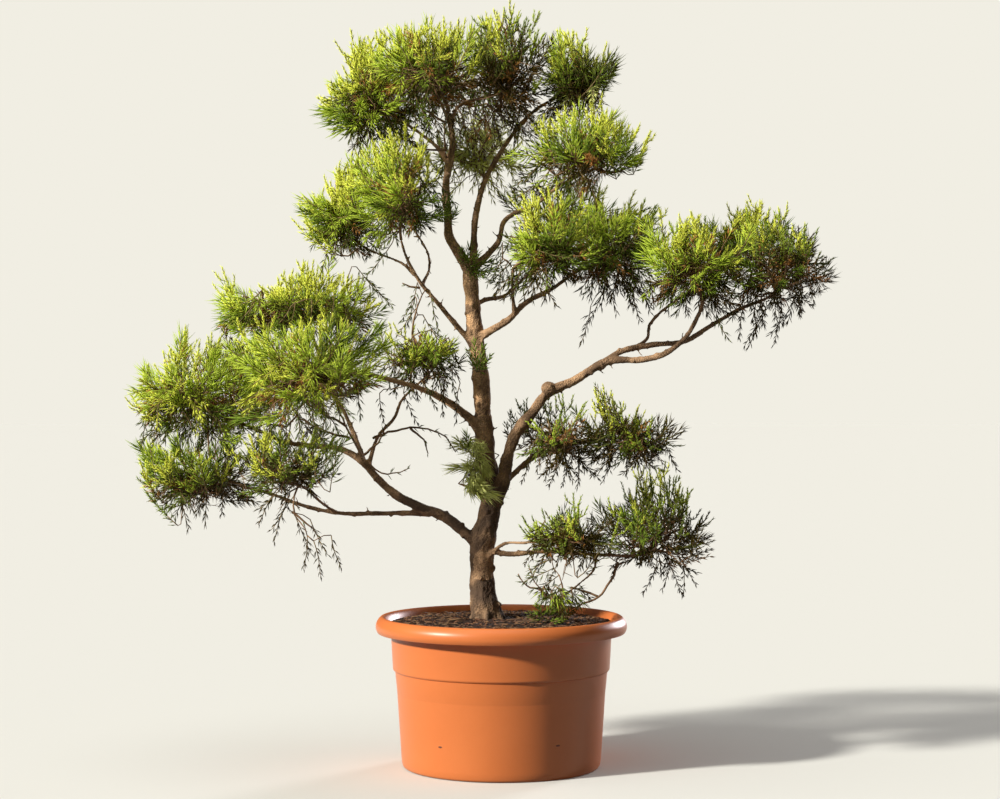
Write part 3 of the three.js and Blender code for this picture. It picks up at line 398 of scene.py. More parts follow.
        (700,575,20), (684,598,10), (600,500,40), (648,468,60), (660,466,70), (670,474,80), (638,476,50)],
     "wisps": [
        (640,600,30), (660,596,40), (684,600,20), (610,585,30), (700,590,30)]},
    {"name": "foliage_low_right_hanging", "from": "bough_low_right_loop",
     "centre": (107, -80, 329), "reach": (51, 50, 33), "sun": 0.1, "hangs": True,
     "fills": [
        (530,572,-60), (524,582,-70), (540,590,-60), (552,598,-60), (575,606,-50), (590,598,-40)],
     "tufts": [
        [(545,618,-60), (538,606,-90), (556,600,-80), (572,612,-80), (562,620,-100), (530,614,-90)]],
     "bare": [
        [(618,562,-60), (611,582,-60), (598,597,-60), (584,604,-60), (567,607,-60), (549,598,-60),
         (536,584,-65), (529,568,-70)],
        [(549,598,-60), (538,590,-65), (524,583,-70), (518,574,-70)],
        [(598,597,-60), (584,590,-50), (570,588,-50)]]},
    {"name": "foliage_left_top", "from": "bough_low_left_up",
     "centre": (-409, 62, 915), "reach": (196, 150, 98), "sun": 0.6,
     "tips": [
        (221,264,60), (224,282,50), (262,284,40), (278,276,70), (307,259,60), (318,264,40), (330,272,70),
        (352,272,50), (366,280,60)],
     "wisps": [
        (385,300,60), (396,310,50), (240,330,70), (228,334,-110), (246,328,-110), (266,336,-120),
        (288,332,-140), (310,328,-130), (330,322,-120)],
     "brushes": [
        (236,330,-120), (256,334,-130), (276,328,-140), (298,326,-130)]},
    {"name": "foliage_left_far", "from": "bough_low_left",
     "centre": (-610, 0, 745), "reach": (150, 170, 124), "sun": 1.15,
     "tips": [
        (128,391,0), (132,404,-20), (143,366,10), (163,358,0), (184,328,0), (200,338,-20), (178,344,20),
        (212,330,10)],
     "wisps": [
        (150,440,0), (180,446,-20), (210,440,-10), (160,428,-30), (195,432,-40), (225,430,-30),
        (240,446,-20), (172,450,0), (136,428,-90), (150,430,-80), (166,434,-100), (182,430,-90),
        (198,436,-110), (214,432,-120), (230,438,-120), (246,434,-130), (158,424,-60), (190,426,-70),
        (222,426,-100), (262,436,-140), (278,432,-160)],
     "brushes": [
        (150,408,-60), (165,425,-90), (190,385,-130), (215,355,-120), (175,400,-110), (232,380,-140),
        (225,410,-130), (235,440,-120)],
     "fills": [
        (142,440,-40), (152,446,-30), (164,442,-50), (176,450,-40), (188,444,-60), (200,450,-50),
        (212,444,-70), (226,450,-80), (170,418,-90), (200,420,-110), (232,422,-130), (260,424,-150)]},
    {"name": "foliage_left_front", "from": "bough_mid_left",
     "centre": (-365, -175, 780), "reach": (145, 150, 109), "sun": 1.15,
     "tips": [
        (236,318,-170), (262,312,-190), (300,318,-200), (322,330,-180)],
     "wisps": [
        (345,440,-150), (325,436,-170), (362,425,-130), (300,440,-170), (250,436,-160), (270,446,-160),
        (288,432,-180), (235,428,-140), (310,452,-150), (330,456,-150)],
     "brushes": [
        (378,330,-150), (352,332,-170), (385,345,-140), (340,345,-180), (365,350,-160), (318,395,-250),
        (300,400,-270), (285,395,-270), (255,345,-230), (310,335,-230), (330,325,-200), (270,420,-240),
        (240,420,-230)],
     "fills": [
        (232,340,-80), (244,352,-80), (225,330,-70), (214,346,-60), (330,300,-60), (345,306,-50)]},
    {"name": "foliage_left_inner", "from": "bough_low_left_right",
     "centre": (-156, -42, 820), "reach": (104, 105, 80), "sun": 0.5, "needle": 0.8, "thin": 0.35,
     "tips": [
        (388,330,-60), (404,322,-40), (425,330,-60), (448,338,-30)],
     "wisps": [
        (395,385,-60), (410,380,-70), (430,385,-50), (450,380,-40), (462,372,-20), (400,420,-50),
        (420,430,-60), (440,415,-50), (455,430,-40), (385,430,-60), (430,400,-60), (408,402,-50),
        (398,328,-50), (405,334,-40), (452,348,-40), (460,362,-30), (466,376,-30), (440,338,-40),
        (394,340,-50), (388,395,-50), (396,402,-50), (404,396,-50), (414,404,-50), (424,410,-50),
        (436,404,-40), (446,412,-40), (456,402,-30), (442,422,-40), (450,392,-30)],
     "fills": [
        (380,372,0), (395,378,0), (410,372,10), (425,380,0), (440,374,0), (372,385,-10), (400,384,-20),
        (412,388,-10), (424,386,-20), (436,388,-10), (448,384,0), (458,376,0), (418,398,-20),
        (432,402,-20), (446,398,-10), (392,392,-30)],
     "tufts": [
        [(478,372,-40), (468,352,-70), (484,346,-80), (474,342,-70), (490,356,-70)]],
     "bare": [
        [(373,438,-60), (388,432,-70), (410,428,-75), (432,430,-70), (446,438,-70), (456,452,-75)],
        [(410,428,-75), (424,440,-80), (428,454,-80)]]},
    {"name": "foliage_left_low", "from": "bough_low_left_side",
     "centre": (-608, 0, 568), "reach": (135, 160, 107), "sun": 0.2, "thin": 0.35,
     "tips": [
        (140,444,0), (138,470,-10), (144,490,10), (160,512,0)],
     "wisps": [
        (172,520,0), (190,535,-10), (205,530,-20), (165,505,10), (222,520,-20), (140,452,-60),
        (160,446,-60), (200,450,-90), (224,446,-90)],
     "brushes": [
        (140,448,-60), (160,455,-90), (175,445,-90), (165,480,-80)],
     "fills": [
        (236,446,-60), (240,458,-60), (246,470,-50), (228,440,-60), (250,452,-80)],
     "bare": [
        [(186,450,-40), (206,470,-45), (238,485,-50), (268,492,-55), (300,508,-60)],
        [(228,450,-50), (246,462,-55), (262,478,-60)]]},
    {"name": "foliage_left_low_front", "from": "bough_low_left_side_up",
     "centre": (-408, -125, 592), "reach": (112, 120, 97), "sun": 0.2, "needle": 0.85, "thin": 0.45,
     "wisps": [
        (272,547,-120), (314,560,-125), (322,583,-125), (343,575,-130), (303,575,-125), (255,530,-110),
        (268,535,-120), (330,560,-110)],
     "fills": [
        (300,470,-90), (320,464,-90), (338,474,-80), (262,488,-100), (286,494,-100), (310,490,-100),
        (252,440,-90), (256,456,-90), (262,468,-80)],
     "bare": [
        [(362,457,-75), (345,424,-95), (336,400,-110), (330,380,-115)],
        [(346,426,-95), (322,412,-110), (304,396,-120)],
        [(350,438,-90), (318,428,-105), (292,414,-115)],
        [(370,462,-80), (378,472,-90), (392,474,-95), (410,468,-95)],
        [(364,455,-80), (380,440,-85), (386,424,-90)],
        [(292,512,-110), (304,520,-115), (318,536,-120)]]},
    {"name": "foliage_left_back", "from": "bough_back_left",
     "centre": (-439, 225, 748), "reach": (193, 145, 138), "sun": 0.5, "thin": 0.5,
     "fills": [
        (150,436,80), (168,432,100), (186,438,90), (204,432,100), (222,440,110), (240,434,100),
        (256,444,110), (272,436,100), (288,446,110), (304,438,100), (320,446,110), (196,452,90),
        (230,456,100), (262,458,110), (292,460,100), (325,380,90), (345,372,80), (330,360,90),
        (316,392,90), (350,392,80), (240,470,110), (255,480,110), (275,476,110), (228,486,100)]},
    {"name": "foliage_trunk_hanging", "from": "trunk",
     "centre": (-60, -52, 597), "reach": (37, 40, 61), "sun": 1, "hangs": True, "lit_paint_share": 0.9,
     "brushes": [
        (462,458,-70), (456,468,-62), (464,478,-75), (470,488,-80), (478,493,-85), (486,497,-80),
        (492,494,-75), (460,446,-60), (474,480,-90), (482,486,-90), (468,466,-85)],
     "tufts": [
        [(470,452,-60), (458,440,-80), (466,434,-90), (482,446,-90)]]},
]

# Old pruning wounds: x, y, z, radius
KNOTS = [(93, -36, 750, 15.5), (-7, -4, 320, 8)]

# Growth of a mass, as in the part's source, carried on to finer twigs.
GOLDEN_ANGLE = math.pi * (3 - math.sqrt(5))
TURN = 6.28
# How far below the centre the stem ends, as a share of the mass's half height.
HEART_DROP = 0.25
# The shells that shoots end in: share of the half sizes, and spacing of the shoots. Shells under the
# smallest reach are left out, and small ones are set closer, down to half the spacing.
SHELLS = [(1.16, 48.0), (0.97, 44.0), (0.76, 56.0), (0.5, 70.0)]
SMALLEST_SHELL = 24
FULL_SPACING_REACH = 80
# The lowest direction of a shoot, as the height on a unit ball.
LOWEST_SHOOT = -0.88
# How far a shoot's end may be drawn in, and moved about.
END_DRAW_IN = 0.26
END_JITTER = 18
# How much a shoot's way is lifted, by its height on the unit ball, and how far it scatters.
LIFT_BY_HEIGHT = ((-0.7, -0.3, 0.1, 0.5), (-0.4, -0.05, 0.3, 0.85))
HANGING_LIFT = -0.9
AIM_WEIGHTS = (0.95, 0.95, 0.55)
AIM_SCATTER = 1.0
# Length of a shoot in millimetres, and how long the ones of an inner shell are.
SHOOT_LENGTH = (52, 46)
INNER_SHOOT = 0.8
FULL_LENGTH_REACH = 75
# Length of a shoot that is set by its end: shortest, and how much longer it may be; how far its end is drawn
# back so that the needles end where the shoot is set.
SET_SHOOTS = {
    "tips": (80, 30, 9), "wisps": (60, 25, 12), "brushes": (66, 20, 0), "fills": (46, 24, 0),
    "dead": (66, 20, 0),
}
# A shoot that leaves the outline is pulled in by these shares, until its tip's needles are inside.
PULLS = (1.0, 0.93, 0.86, 0.78, 0.7, 0.6)
TIP_REACH = 14.0
# How far past its own mass a shoot may end, and from which depth in other masses there would be a crease.
OWN_SPACE = 1.2
CREASE_REACH = 1.55
# Sprays stand in clumps with gaps between them, and masses that are thin lose shoots below.
CLUMP_SIZE = 50.0
CLUMP_GAP = 0.01
THIN_BELOW = 0.35
LIMB_MARGIN = 4.0
# Steps along stems and twigs. A twig starts where it costs least: near, early on, ahead, past the foot.
STEM_STEP = 14.0
TWIG_STEP = 19.0
RUN_COST = 0.3
BACKWARD_COST = 26
STEM_FOOT_COST = 60
STEM_FREE = 14.0
# Thickness: of a twig that bears one shoot, how it grows with their number, and of the stem's thin end.
TRUNK_SHOOT_RADIUS = 3.0
TWIG_END_RADIUS = 0.95
TWIG_POWER = 0.42
STEM_TAPER = 0.72
# Bare twigs that show, from foot to end, and how crooked they are.
BARE_RADII = (2.6, 1.0)
BARE_STEP = 9.0
BARE_CROOK = (17, 4.0)
# Bare twiglets inside a mass: how many for each point of its twigs, how far out they start, their length.
TWIGLET_SHARE = 0.24
TWIGLET_DEPTH = 0.85
TWIGLET_LENGTH = (22, 62)
# Green shoots and their side candles, from foot to end.
SHOOT_RADII = (1.25, 0.75)
CANDLE_RADII = (1.0, 0.9, 0.7)
# Length of a side candle as a share of its shoot's: shortest, and how much longer it may be.
CANDLE_REACH = (0.3, 0.22)

# Needles of each kind of shoot: spacing, length and lean from foot to tip, the part of the shoot that they
# stand on, and how much they droop.
NEEDLE_SETS = {
    "brushes": (2.7, (46, 36), (0.62, 0.3), (0.15, 1.0), 0.04),
    "wisps": (5.5, (22, 15), (0.85, 0.5), (0.1, 1.0), 0.2),
    "dead": (2.0, (22, 15), (0.8, 0.4), (0.6, 1.0), 0.05),
    "fills": (4.2, (26, 18), (0.9, 0.45), (0.1, 1.0), 0.0),
    "tufts": (2.6, (26, 18), (0.8, 0.4), (0.1, 1.0), 0.05),
    "inner": (5.2, (28, 18), (0.9, 0.5), (0.0, 1.0), 0.2),
    "hanging": (3.6, (42, 30), (0.7, 0.4), (0.1, 1.0), 0.3),
    "under": (4.4, (28, 20), (0.8, 0.45), (0.1, 1.0), 0.2),
    "long": (3.5, (44, 34), (1.0, 0.45), (0.2, 1.0), 0.06),
    "old": (5.4, (24, 17), (0.95, 0.7), (0.0, 0.5), 0.1),
    "candle": (2.35, (14, 10), (0.7, 0.4), (0.3, 1.0), 0.0),
    "side_candle": (2.6, (13, 9), (0.7, 0.4), (0.15, 1.0), 0.0),
    "bare": (11.0, (20, 13), (1.0, 0.6), (0.4, 1.0), 0.3),
}
STRAIGHT_SETS = ("candle", "side_candle")
# How much the painted light on a spray's needles changes upwards, to the right, to the back and inwards, and
# by chance and patch: painted sunlight above and to the left, painted shade to the right, at the back and
# inside.
LIGHT_WEIGHTS = (0.5, -0.2, -0.12, -0.55, 0.4, 0.45)
# Painted light that each needle colour needs at least, and the size of the patches.
NEW_OVER = 0.82
BRIGHT_OVER = 0.52
GREEN_OVER = 0.3
COOL_OVER = 0.1
PATCH_SIZE = 64
# Heights on a unit ball under which a shoot is below its mass, and over which it is fresh or on top.
UNDER = -0.25
FRESH_OVER = -0.1
TOP = 0.55
NEEDLE_WIDTH = 1.9
# Half the angle between the two needles of a pair; a needle's parts before and past its bend, and how much
# it bends ahead.
PAIR_ANGLE = 0.22
NEEDLE_PARTS = (0.42, 0.58)
BEND_AHEAD = 0.22
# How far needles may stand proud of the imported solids, along X, Y and Z.
PROUD = np.array([30.0, 20.0, 25.0])

# Bark: scaly plates that grow with the limb, cracks between them, and lumps.
PLATE_SIZE = (2.2, 0.16)
PLATE_STRETCH = 2.8
CRACK_WIDTH = 0.26
RELIEF = (0.45, 0.1, 3.0)
CRACK_SHARE = 0.75
LUMP_SHARE = 0.55
# Darker bark: painted shade in the band at the low boughs (height and spread), at the foot (top and fade)
# and in the stretch beside the trunk where the big bough leaves, and a darker ring round the big knot.
BAND = (525, 105)
FOOT = (430, 25)
KNOT_RING = (93, 750, 350)
BESIDE = ((70, 75), (620, 130))
# Painted sunlight on the bark, as a tan: up the left of the upper trunk, and on the boughs at the left.
STRIPE = ((-55, 45), (770, 190))
LEFT_BOUGHS = ((-190, 110), (745, 48))
# Radii that the trunk is over and thin limbs are not.
TRUNK_OVER = 13
TWIG_UNDER = 9
TWIG_SHADE = 0.35

# Old twigs: how often they come along a limb, how far from its ends, how many are knobs, and the snags.
KNOB_STEP = 24
KNOB_ENDS = (28, 12)
KNOB_SHARE = 0.7
SNAG_RADII = (2.6, 2.0, 1.5)
SNAG_UNDER = 19
# The trunk's foot, and the stations of each root: how far out, how far aside, how high and how thick.
TRUNK_FOOT = (-29.0, 6.0)
ROOT_COUNT = 6
ROOT_STATIONS = [(14, -4, 345, 8.0), (20, -2, 316, 8.5), (27, 0, 299, 8.0), (38, 0, 289, 4.0)]

# Bark chips and fallen needles on the soil, and how far they keep off the trunk's foot.
CHIP_COUNT = 1150
CHIP_CORNERS = 6
CHIP_CLEARANCE = 36
LITTER_COUNT = 420
LITTER_CLEARANCE = 52
LITTER_WIDTH = 1.5

# The bits and the step of the random numbers.
WORD = 0xFFFFFFFF
RANDOM_STEP = 0x6D2B79F5


def random_from(seed):
    """Seeded generator of numbers from 0 to 1, the same as in the part's source."""
    state = seed & WORD

    def draw():
        nonlocal state
        state = (state + RANDOM_STEP) & WORD
        t = ((state ^ (state >> 15)) * (1 | state)) & WORD
        t = ((t + (((t ^ (t >> 7)) * (61 | t)) & WORD)) & WORD) ^ t
        return ((t ^ (t >> 14)) & WORD) / (WORD + 1)

    return draw


def from_photo(column, row, behind=0):
    """The place of a point that shows in a column and row of the photo, so far behind the pot's axis."""
    distance = -CAMERA_PLACE[1]
    scale = MM_PER_PIXEL * (distance + behind) / distance
    x = (column - PHOTO_MIDDLE[0]) * scale
    z = CAMERA_PLACE[2] + (PHOTO_MIDDLE[1] - row) * scale
    return round(x), behind, round(z)


def unit(v):
    return v / max(1e-9, float(np.linalg.norm(v)))


def bell(value, place, power=2):
    """1 at the middle of a place of (middle, spread), and down to nothing past its spread."""
    middle, spread = place
    return math.exp(-((value - middle) / spread) ** power)


def within(value, low=0.0, high=1.0):
    return min(high, max(low, value))


def runs_along(line):
    """How far along a line each of its points lies."""
    return np.concatenate([[0], np.cumsum(np.linalg.norm(np.diff(line, axis=0), axis=1))])


def centre_line(stations, step):
    """A centripetal curve through the stations, sampled every step; extra columns go along."""
    p = np.array(stations, float)
    p = np.vstack([2 * p[0] - p[1], p, 2 * p[-1] - p[-2]])
    line = []
    for i in range(1, len(p) - 2):
        p0, p1, p2, p3 = p[i - 1:i + 3]
        t1 = np.linalg.norm((p1 - p0)[:3]) ** 0.5
        t2 = t1 + np.linalg.norm((p2 - p1)[:3]) ** 0.5
        t3 = t2 + np.linalg.norm((p3 - p2)[:3]) ** 0.5
        count = max(2, int(round(np.linalg.norm((p2 - p1)[:3]) / step)))
        last = i == len(p) - 3
        for t in np.linspace(t1, t2, count + 1)[: None if last else -1]:
            a1 = p0 + (p1 - p0) * (t / t1)
            a2 = p1 + (p2 - p1) * ((t - t1) / (t2 - t1))
            a3 = p2 + (p3 - p2) * ((t - t2) / (t3 - t2))
            b1 = a1 + (a2 - a1) * (t / t2)
            b2 = a2 + (a3 - a2) * ((t - t1) / (t3 - t1))
            line.append(b1 + (b2 - b1) * ((t - t1) / (t2 - t1)))
    return np.array(line)


def frames_along(points):
    """Tangents and two normals that turn smoothly along a line."""
    tangents = np.gradient(points, axis=0)
    tangents /= np.maximum(1e-9, np.linalg.norm(tangents, axis=1))[:, None]
    first = np.zeros_like(points)
    helper = np.array([0.0, 0.0, 1.0]) if abs(tangents[0][2]) < 0.9 else np.array([1.0, 0.0, 0.0])
    for i, t in enumerate(tangents):
        helper = unit(helper - t * helper.dot(t))
        first[i] = helper
    return tangents, first, np.cross(tangents, first)


def new_object(name, data):
    new = bpy.data.objects.new(name, data)
    bpy.context.scene.collection.objects.link(new)
    return new


def select_only(*pieces):
    bpy.ops.object.select_all(action="DESELECT")
    for piece in pieces:
        piece.select_set(True)
    bpy.context.view_layer.objects.active = pieces[0]


def named(name):
    """The active piece, with its new name on its mesh too."""
    piece = bpy.context.view_layer.objects.active
    piece.name = name
    piece.data.name = name
    return piece


def apply_modifier(piece, kind, name, **settings):
    select_only(piece)
    modifier = piece.modifiers.new(name, kind)
    for key, value in settings.items():
        setattr(modifier, key, value)
    bpy.ops.object.modifier_apply(modifier=modifier.name)


def mesh_piece(name, places, faces, slots=None, smooth=True):
    """A piece from an array of places in millimetres and an array of faces with equal corner counts."""
    mesh = bpy.data.meshes.new(name)
    corners = faces.shape[1]
    mesh.vertices.add(len(places))
    mesh.vertices.foreach_set("co", (places * MM).astype(np.float32).ravel())
    mesh.loops.add(faces.size)
    mesh.loops.foreach_set("vertex_index", faces.astype(np.int32).ravel())
    mesh.polygons.add(len(faces))
    mesh.polygons.foreach_set("loop_start", np.arange(0, faces.size, corners, dtype=np.int32))
    if slots is not None:
        mesh.polygons.foreach_set("material_index", slots.astype(np.int32))
    mesh.update(calc_edges=True)
    mesh.polygons.foreach_set("use_smooth", np.full(len(faces), smooth))
    mesh.validate()
    return new_object(name, mesh)


def tubes(lines, sides):
    """Closed tubes round lines of (points, radii): places and triangles."""
    places, faces = [], []
    start = 0
    angles = 2 * math.pi * np.arange(sides) / sides
    for points, radii in lines:
        count = len(points)
        _, first, second = frames_along(points)
        ring = (np.cos(angles)[None, :, None] * first[:, None, :]
                + np.sin(angles)[None, :, None] * second[:, None, :])
        places.append((points[:, None, :] + ring * radii[:, None, None]).reshape(-1, 3))
        k = np.arange(sides)
        n = (k + 1) % sides
        for i in range(count - 1):
            a, b = start + i * sides, start + (i + 1) * sides
            faces.append(np.stack([a + k, a + n, b + n], 1))
            faces.append(np.stack([a + k, b + n, b + k], 1))
        last = start + (count - 1) * sides
        fan = np.arange(1, sides - 1)
        faces.append(np.stack([np.full_like(fan, start), start + fan + 1, start + fan], 1))
        faces.append(np.stack([np.full_like(fan, last), last + fan, last + fan + 1], 1))
        start += count * sides
    return np.vstack(places), np.vstack(faces)


# Shader groups

def new_group(name, inputs, outputs):
    group = bpy.data.node_groups.new(name, "ShaderNodeTree")
    for label, kind, value in inputs:
        socket = group.interface.new_socket(label, in_out="INPUT", socket_type=kind)
        socket.default_value = value
    for label, kind in outputs:
        group.interface.new_socket(label, in_out="OUTPUT", socket_type=kind)
    return group, group.nodes.new("NodeGroupInput"), group.nodes.new("NodeGroupOutput")


def add_node(tree, kind, links=(), **settings):
    node = tree.nodes.new(kind)
    for key, value in settings.items():
        if key in node.inputs:
            node.inputs[key].default_value = value
        else:
            setattr(node, key, value)
    for source, target in links:
        tree.links.new(source, node.inputs[target])
    return node


def math_node(tree, operation, first, second):
    """The result of an operation on another node's output and a second output or number."""
    node = add_node(tree, "ShaderNodeMath", [(first, 0)], operation=operation)
    if isinstance(second, float):
        node.inputs[1].default_value = second
    else:
        tree.links.new(second, node.inputs[1])
    return node.outputs[0]


def build_mottle():
    """Two colours dealt over the surface by soft noise, with finer grain on top."""
    group, given, out = new_group(
        "Mottle",
        [("Vector", "NodeSocketVector", (0, 0, 0)), ("Colour A", "NodeSocketColor", (1, 1, 1, 1)),
         ("Colour B", "NodeSocketColor", (0, 0, 0, 1)), ("Scale", "NodeSocketFloat", 20.0),
         ("Contrast", "NodeSocketFloat", 1.0), ("Grain", "NodeSocketFloat", 0.3)],
        [("Color", "NodeSocketColor"), ("Mask", "NodeSocketFloat")])
    patches = add_node(group, "ShaderNodeTexNoise", [(given.outputs["Vector"], "Vector"),
                                                     (given.outputs["Scale"], "Scale")], Detail=5.0)
    finer = math_node(group, "MULTIPLY", given.outputs["Scale"], 11.0)
    grain = add_node(group, "ShaderNodeTexNoise", [(given.outputs["Vector"], "Vector"), (finer, "Scale")],
                     Detail=2.0)
    centred = math_node(group, "SUBTRACT", patches.outputs["Fac"], 0.5)
    spread = math_node(group, "MULTIPLY", centred, given.outputs["Contrast"])
    fine = math_node(group, "SUBTRACT", grain.outputs["Fac"], 0.5)
    weighed = math_node(group, "MULTIPLY", fine, given.outputs["Grain"])
    both = math_node(group, "ADD", spread, weighed)
    mask = math_node(group, "ADD", both, 0.5)
    mask.node.use_clamp = True
    mix = add_node(group, "ShaderNodeMix", data_type="RGBA")
    group.links.new(mask, mix.inputs["Factor"])
    group.links.new(given.outputs["Colour A"], mix.inputs[6])
    group.links.new(given.outputs["Colour B"], mix.inputs[7])
    group.links.new(mix.outputs[2], out.inputs["Color"])
    group.links.new(mask, out.inputs["Mask"])
    return group


mottle_group = build_mottle()


def new_material(name, **sockets):
    material = bpy.data.materials.new(name)
    material.use_nodes = True
    shader = material.node_tree.nodes["Principled BSDF"]
    for key, value in sockets.items():
        shader.inputs[key].default_value = value
    return material, material.node_tree, shader


def mottled(name, colour_a, colour_b, scale, contrast, grain, bump=0, bump_distance=0, **sockets):
    """A material whose colour and fine relief come from the mottle group on object coordinates."""
    material, tree, shader = new_material(name, **sockets)
    place = tree.nodes.new("ShaderNodeTexCoord")
    tone = add_node(tree, "ShaderNodeGroup", node_tree=mottle_group)
    tree.links.new(place.outputs["Object"], tone.inputs["Vector"])
    tone.inputs["Colour A"].default_value = (*colour_a, 1)
    tone.inputs["Colour B"].default_value = (*colour_b, 1)
    tone.inputs["Scale"].default_value = scale
    tone.inputs["Contrast"].default_value = contrast
    tone.inputs["Grain"].default_value = grain
    tree.links.new(tone.outputs["Color"], shader.inputs["Base Color"])
    if bump:
        relief = add_node(tree, "ShaderNodeBump", [(tone.outputs["Mask"], "Height")],
                          Strength=bump, Distance=bump_distance)
        tree.links.new(relief.outputs["Normal"], shader.inputs["Normal"])
    return material, tree, shader, tone


def bark_material(name, light, dark, crevice, sunlit_tan, shaded):
    """Bark: plates of two browns, dark in the crevices, and then a tan of painted sunlight and a dark brown
    of painted shade from two attributes.
    """
    material, tree, shader, tone = mottled(name, light, dark, scale=34.0, contrast=3.4, grain=1.8, bump=0.9,
                                           bump_distance=0.0024, Roughness=0.88)
    colour = tone.outputs["Color"]
    for attribute, paint in (("crevice", crevice), ("painted_sunlight", sunlit_tan), ("shade", shaded)):
        amount = add_node(tree, "ShaderNodeAttribute", attribute_name=attribute)
        mix = add_node(tree, "ShaderNodeMix", data_type="RGBA")
        mix.inputs[7].default_value = (*paint, 1)
        tree.links.new(amount.outputs["Fac"], mix.inputs["Factor"])
        tree.links.new(colour, mix.inputs[6])
        colour = mix.outputs[2]
    tree.links.new(colour, shader.inputs["Base Color"])
    return material


# The bark's sunlit tan is painted sunlight, and its shaded brown is painted shade.
BARK = bark_material("Bark", light=(0.82, 0.5, 0.265), dark=(0.26, 0.15, 0.076), crevice=(0.085, 0.05, 0.03),
                     sunlit_tan=(1.0, 0.6, 0.3), shaded=(0.092, 0.056, 0.034))
TWIG_BARK, *_ = mottled("Twig_bark", (0.36, 0.21, 0.105), (0.13, 0.07, 0.032), scale=60.0, contrast=2.0,
                        grain=0.8, bump=0.4, bump_distance=0.0006, Roughness=0.85)
GREEN_TWIG, *_ = mottled("Green_twig", (0.32, 0.22, 0.08), (0.14, 0.09, 0.036), scale=70.0, contrast=2.0,
                         grain=0.6, bump=0.3, bump_distance=0.0004, Roughness=0.75)
# Needle colours, each a pair that varies within a spray. Sprays are dealt them by painted light, the lighter
# ones as painted sunlight and the darker ones as painted shade; new growth is also lighter, and dead needles
# are brown.
NEEDLE_COLOURS = [
    ("Needles_new_and_sunlit", (0.92, 0.97, 0.13), (0.72, 0.78, 0.085)),
    ("Needles_bright", (0.62, 0.78, 0.08), (0.38, 0.5, 0.045)),
    ("Needles_green", (0.3, 0.43, 0.05), (0.15, 0.215, 0.02)),
    ("Needles_cool", (0.19, 0.23, 0.045), (0.08, 0.098, 0.016)),
    ("Needles_deep", (0.09, 0.066, 0.004), (0.034, 0.024, 0.002)),
    ("Needles_dead", (0.6, 0.28, 0.08), (0.3, 0.135, 0.036)),
    ("Needles_painted_lit", (0.97, 1.0, 0.36), (0.72, 0.78, 0.22)),
]
NEW_AND_SUNLIT, BRIGHT, GREEN, COOL, DEEP, DEAD, PAINTED_LIT = range(7)
NEEDLES = []
for needle_name, *needle_tones in NEEDLE_COLOURS:
    needle_material, *_ = mottled(needle_name, *needle_tones, scale=45.0, contrast=2.0, grain=0.5,
                                  Roughness=0.55, **{"Specular IOR Level": 0.1})
    NEEDLES.append(needle_material)

camera_data = bpy.data.cameras.new("Camera")
camera_data.lens = CAMERA_LENS
camera_data.sensor_width = CAMERA_SENSOR
camera = new_object("Camera", camera_data)
camera.location = Vector(CAMERA_PLACE) * MM
camera.rotation_euler = (math.radians(90), 0, 0)
bpy.context.scene.camera = camera


# Limbs

def limb_lines():
    """Each limb's centre line and radii in millimetres."""
    trunk = centre_line(TRUNK_STATIONS, 8.0)
    limbs = {"trunk": (trunk[:, :3], trunk[:, 3])}
    for row in BOUGHS:
        line = centre_line(row["path"], 7.0)
        runs = runs_along(line)
        share = runs / runs[-1]
        limbs[row["name"]] = (line, row["radii"][0] + (row["radii"][1] - row["radii"][0]) * share)
    return limbs


limb_table = limb_lines()


def curve_tube(name, points, radii, resolution):
    """A round tube along a line, made as a bevelled curve and converted to a mesh."""
    curve = bpy.data.curves.new(name, "CURVE")
    curve.dimensions = "3D"
    spline = curve.splines.new("POLY")
    spline.points.add(len(points) - 1)
    for target, place, radius in zip(spline.points, points, radii):
        target.co = (*(place * MM), 1)
        target.radius = radius
    curve.bevel_depth = MM
    curve.bevel_resolution = resolution
    curve.use_fill_caps = True
    select_only(new_object(name, curve))
    bpy.ops.object.convert(target="MESH")
    return bpy.context.view_layer.objects.active


def knob(place, radius, stretch):
    """A ball on the bark, stretched along X, Y and Z."""
    bpy.ops.mesh.primitive_ico_sphere_add(subdivisions=2, radius=radius * MM,
                                          location=Vector([float(v) for v in place]) * MM)
    ball = bpy.context.view_layer.objects.active
    ball.scale = stretch
    bpy.ops.object.transform_apply(location=True, rotation=True, scale=True)
    return ball


def old_twig(points, radii, tangents, normals, i, chance):
    """A knob, or on thinner limbs a short snag, where an old twig was on the limb's point i."""
    angle = chance.uniform(0, 2 * math.pi)
    side = math.cos(angle) * normals[0][i] + math.sin(angle) * normals[1][i]
    radius = radii[i]
    size = min(5.5, 1.4 + radius * chance.uniform(0.16, 0.34))
    place = points[i] + side * (radius * 0.92)
    if chance.uniform() < KNOB_SHARE:
        return [knob(place, size, (1, 1, chance.uniform(0.8, 1.5)))]
    if radius >= SNAG_UNDER:
        return []
    reach = chance.uniform(6, 16)
    tip = points[i] + side * (radius + reach) + tangents[i] * reach * 0.6
    line = np.array([points[i], (place + tip) / 2, tip])
    return [curve_tube("snag", line, np.array(SNAG_RADII), 1)]


def root(k, chance):
    """One of the low ridges that run out into the soil round the trunk's foot."""
    angle = 0.4 + k * 2 * math.pi / ROOT_COUNT + chance.uniform(-0.25, 0.25)
    way = np.array([math.cos(angle), math.sin(angle), 0.0])
    foot = np.array([*TRUNK_FOOT, 0.0])
    line = np.array([foot + way * out + [aside, 0, height] for out, aside, height, _ in ROOT_STATIONS])
    return curve_tube("root", line, np.array([radius for *_, radius in ROOT_STATIONS]), 3)


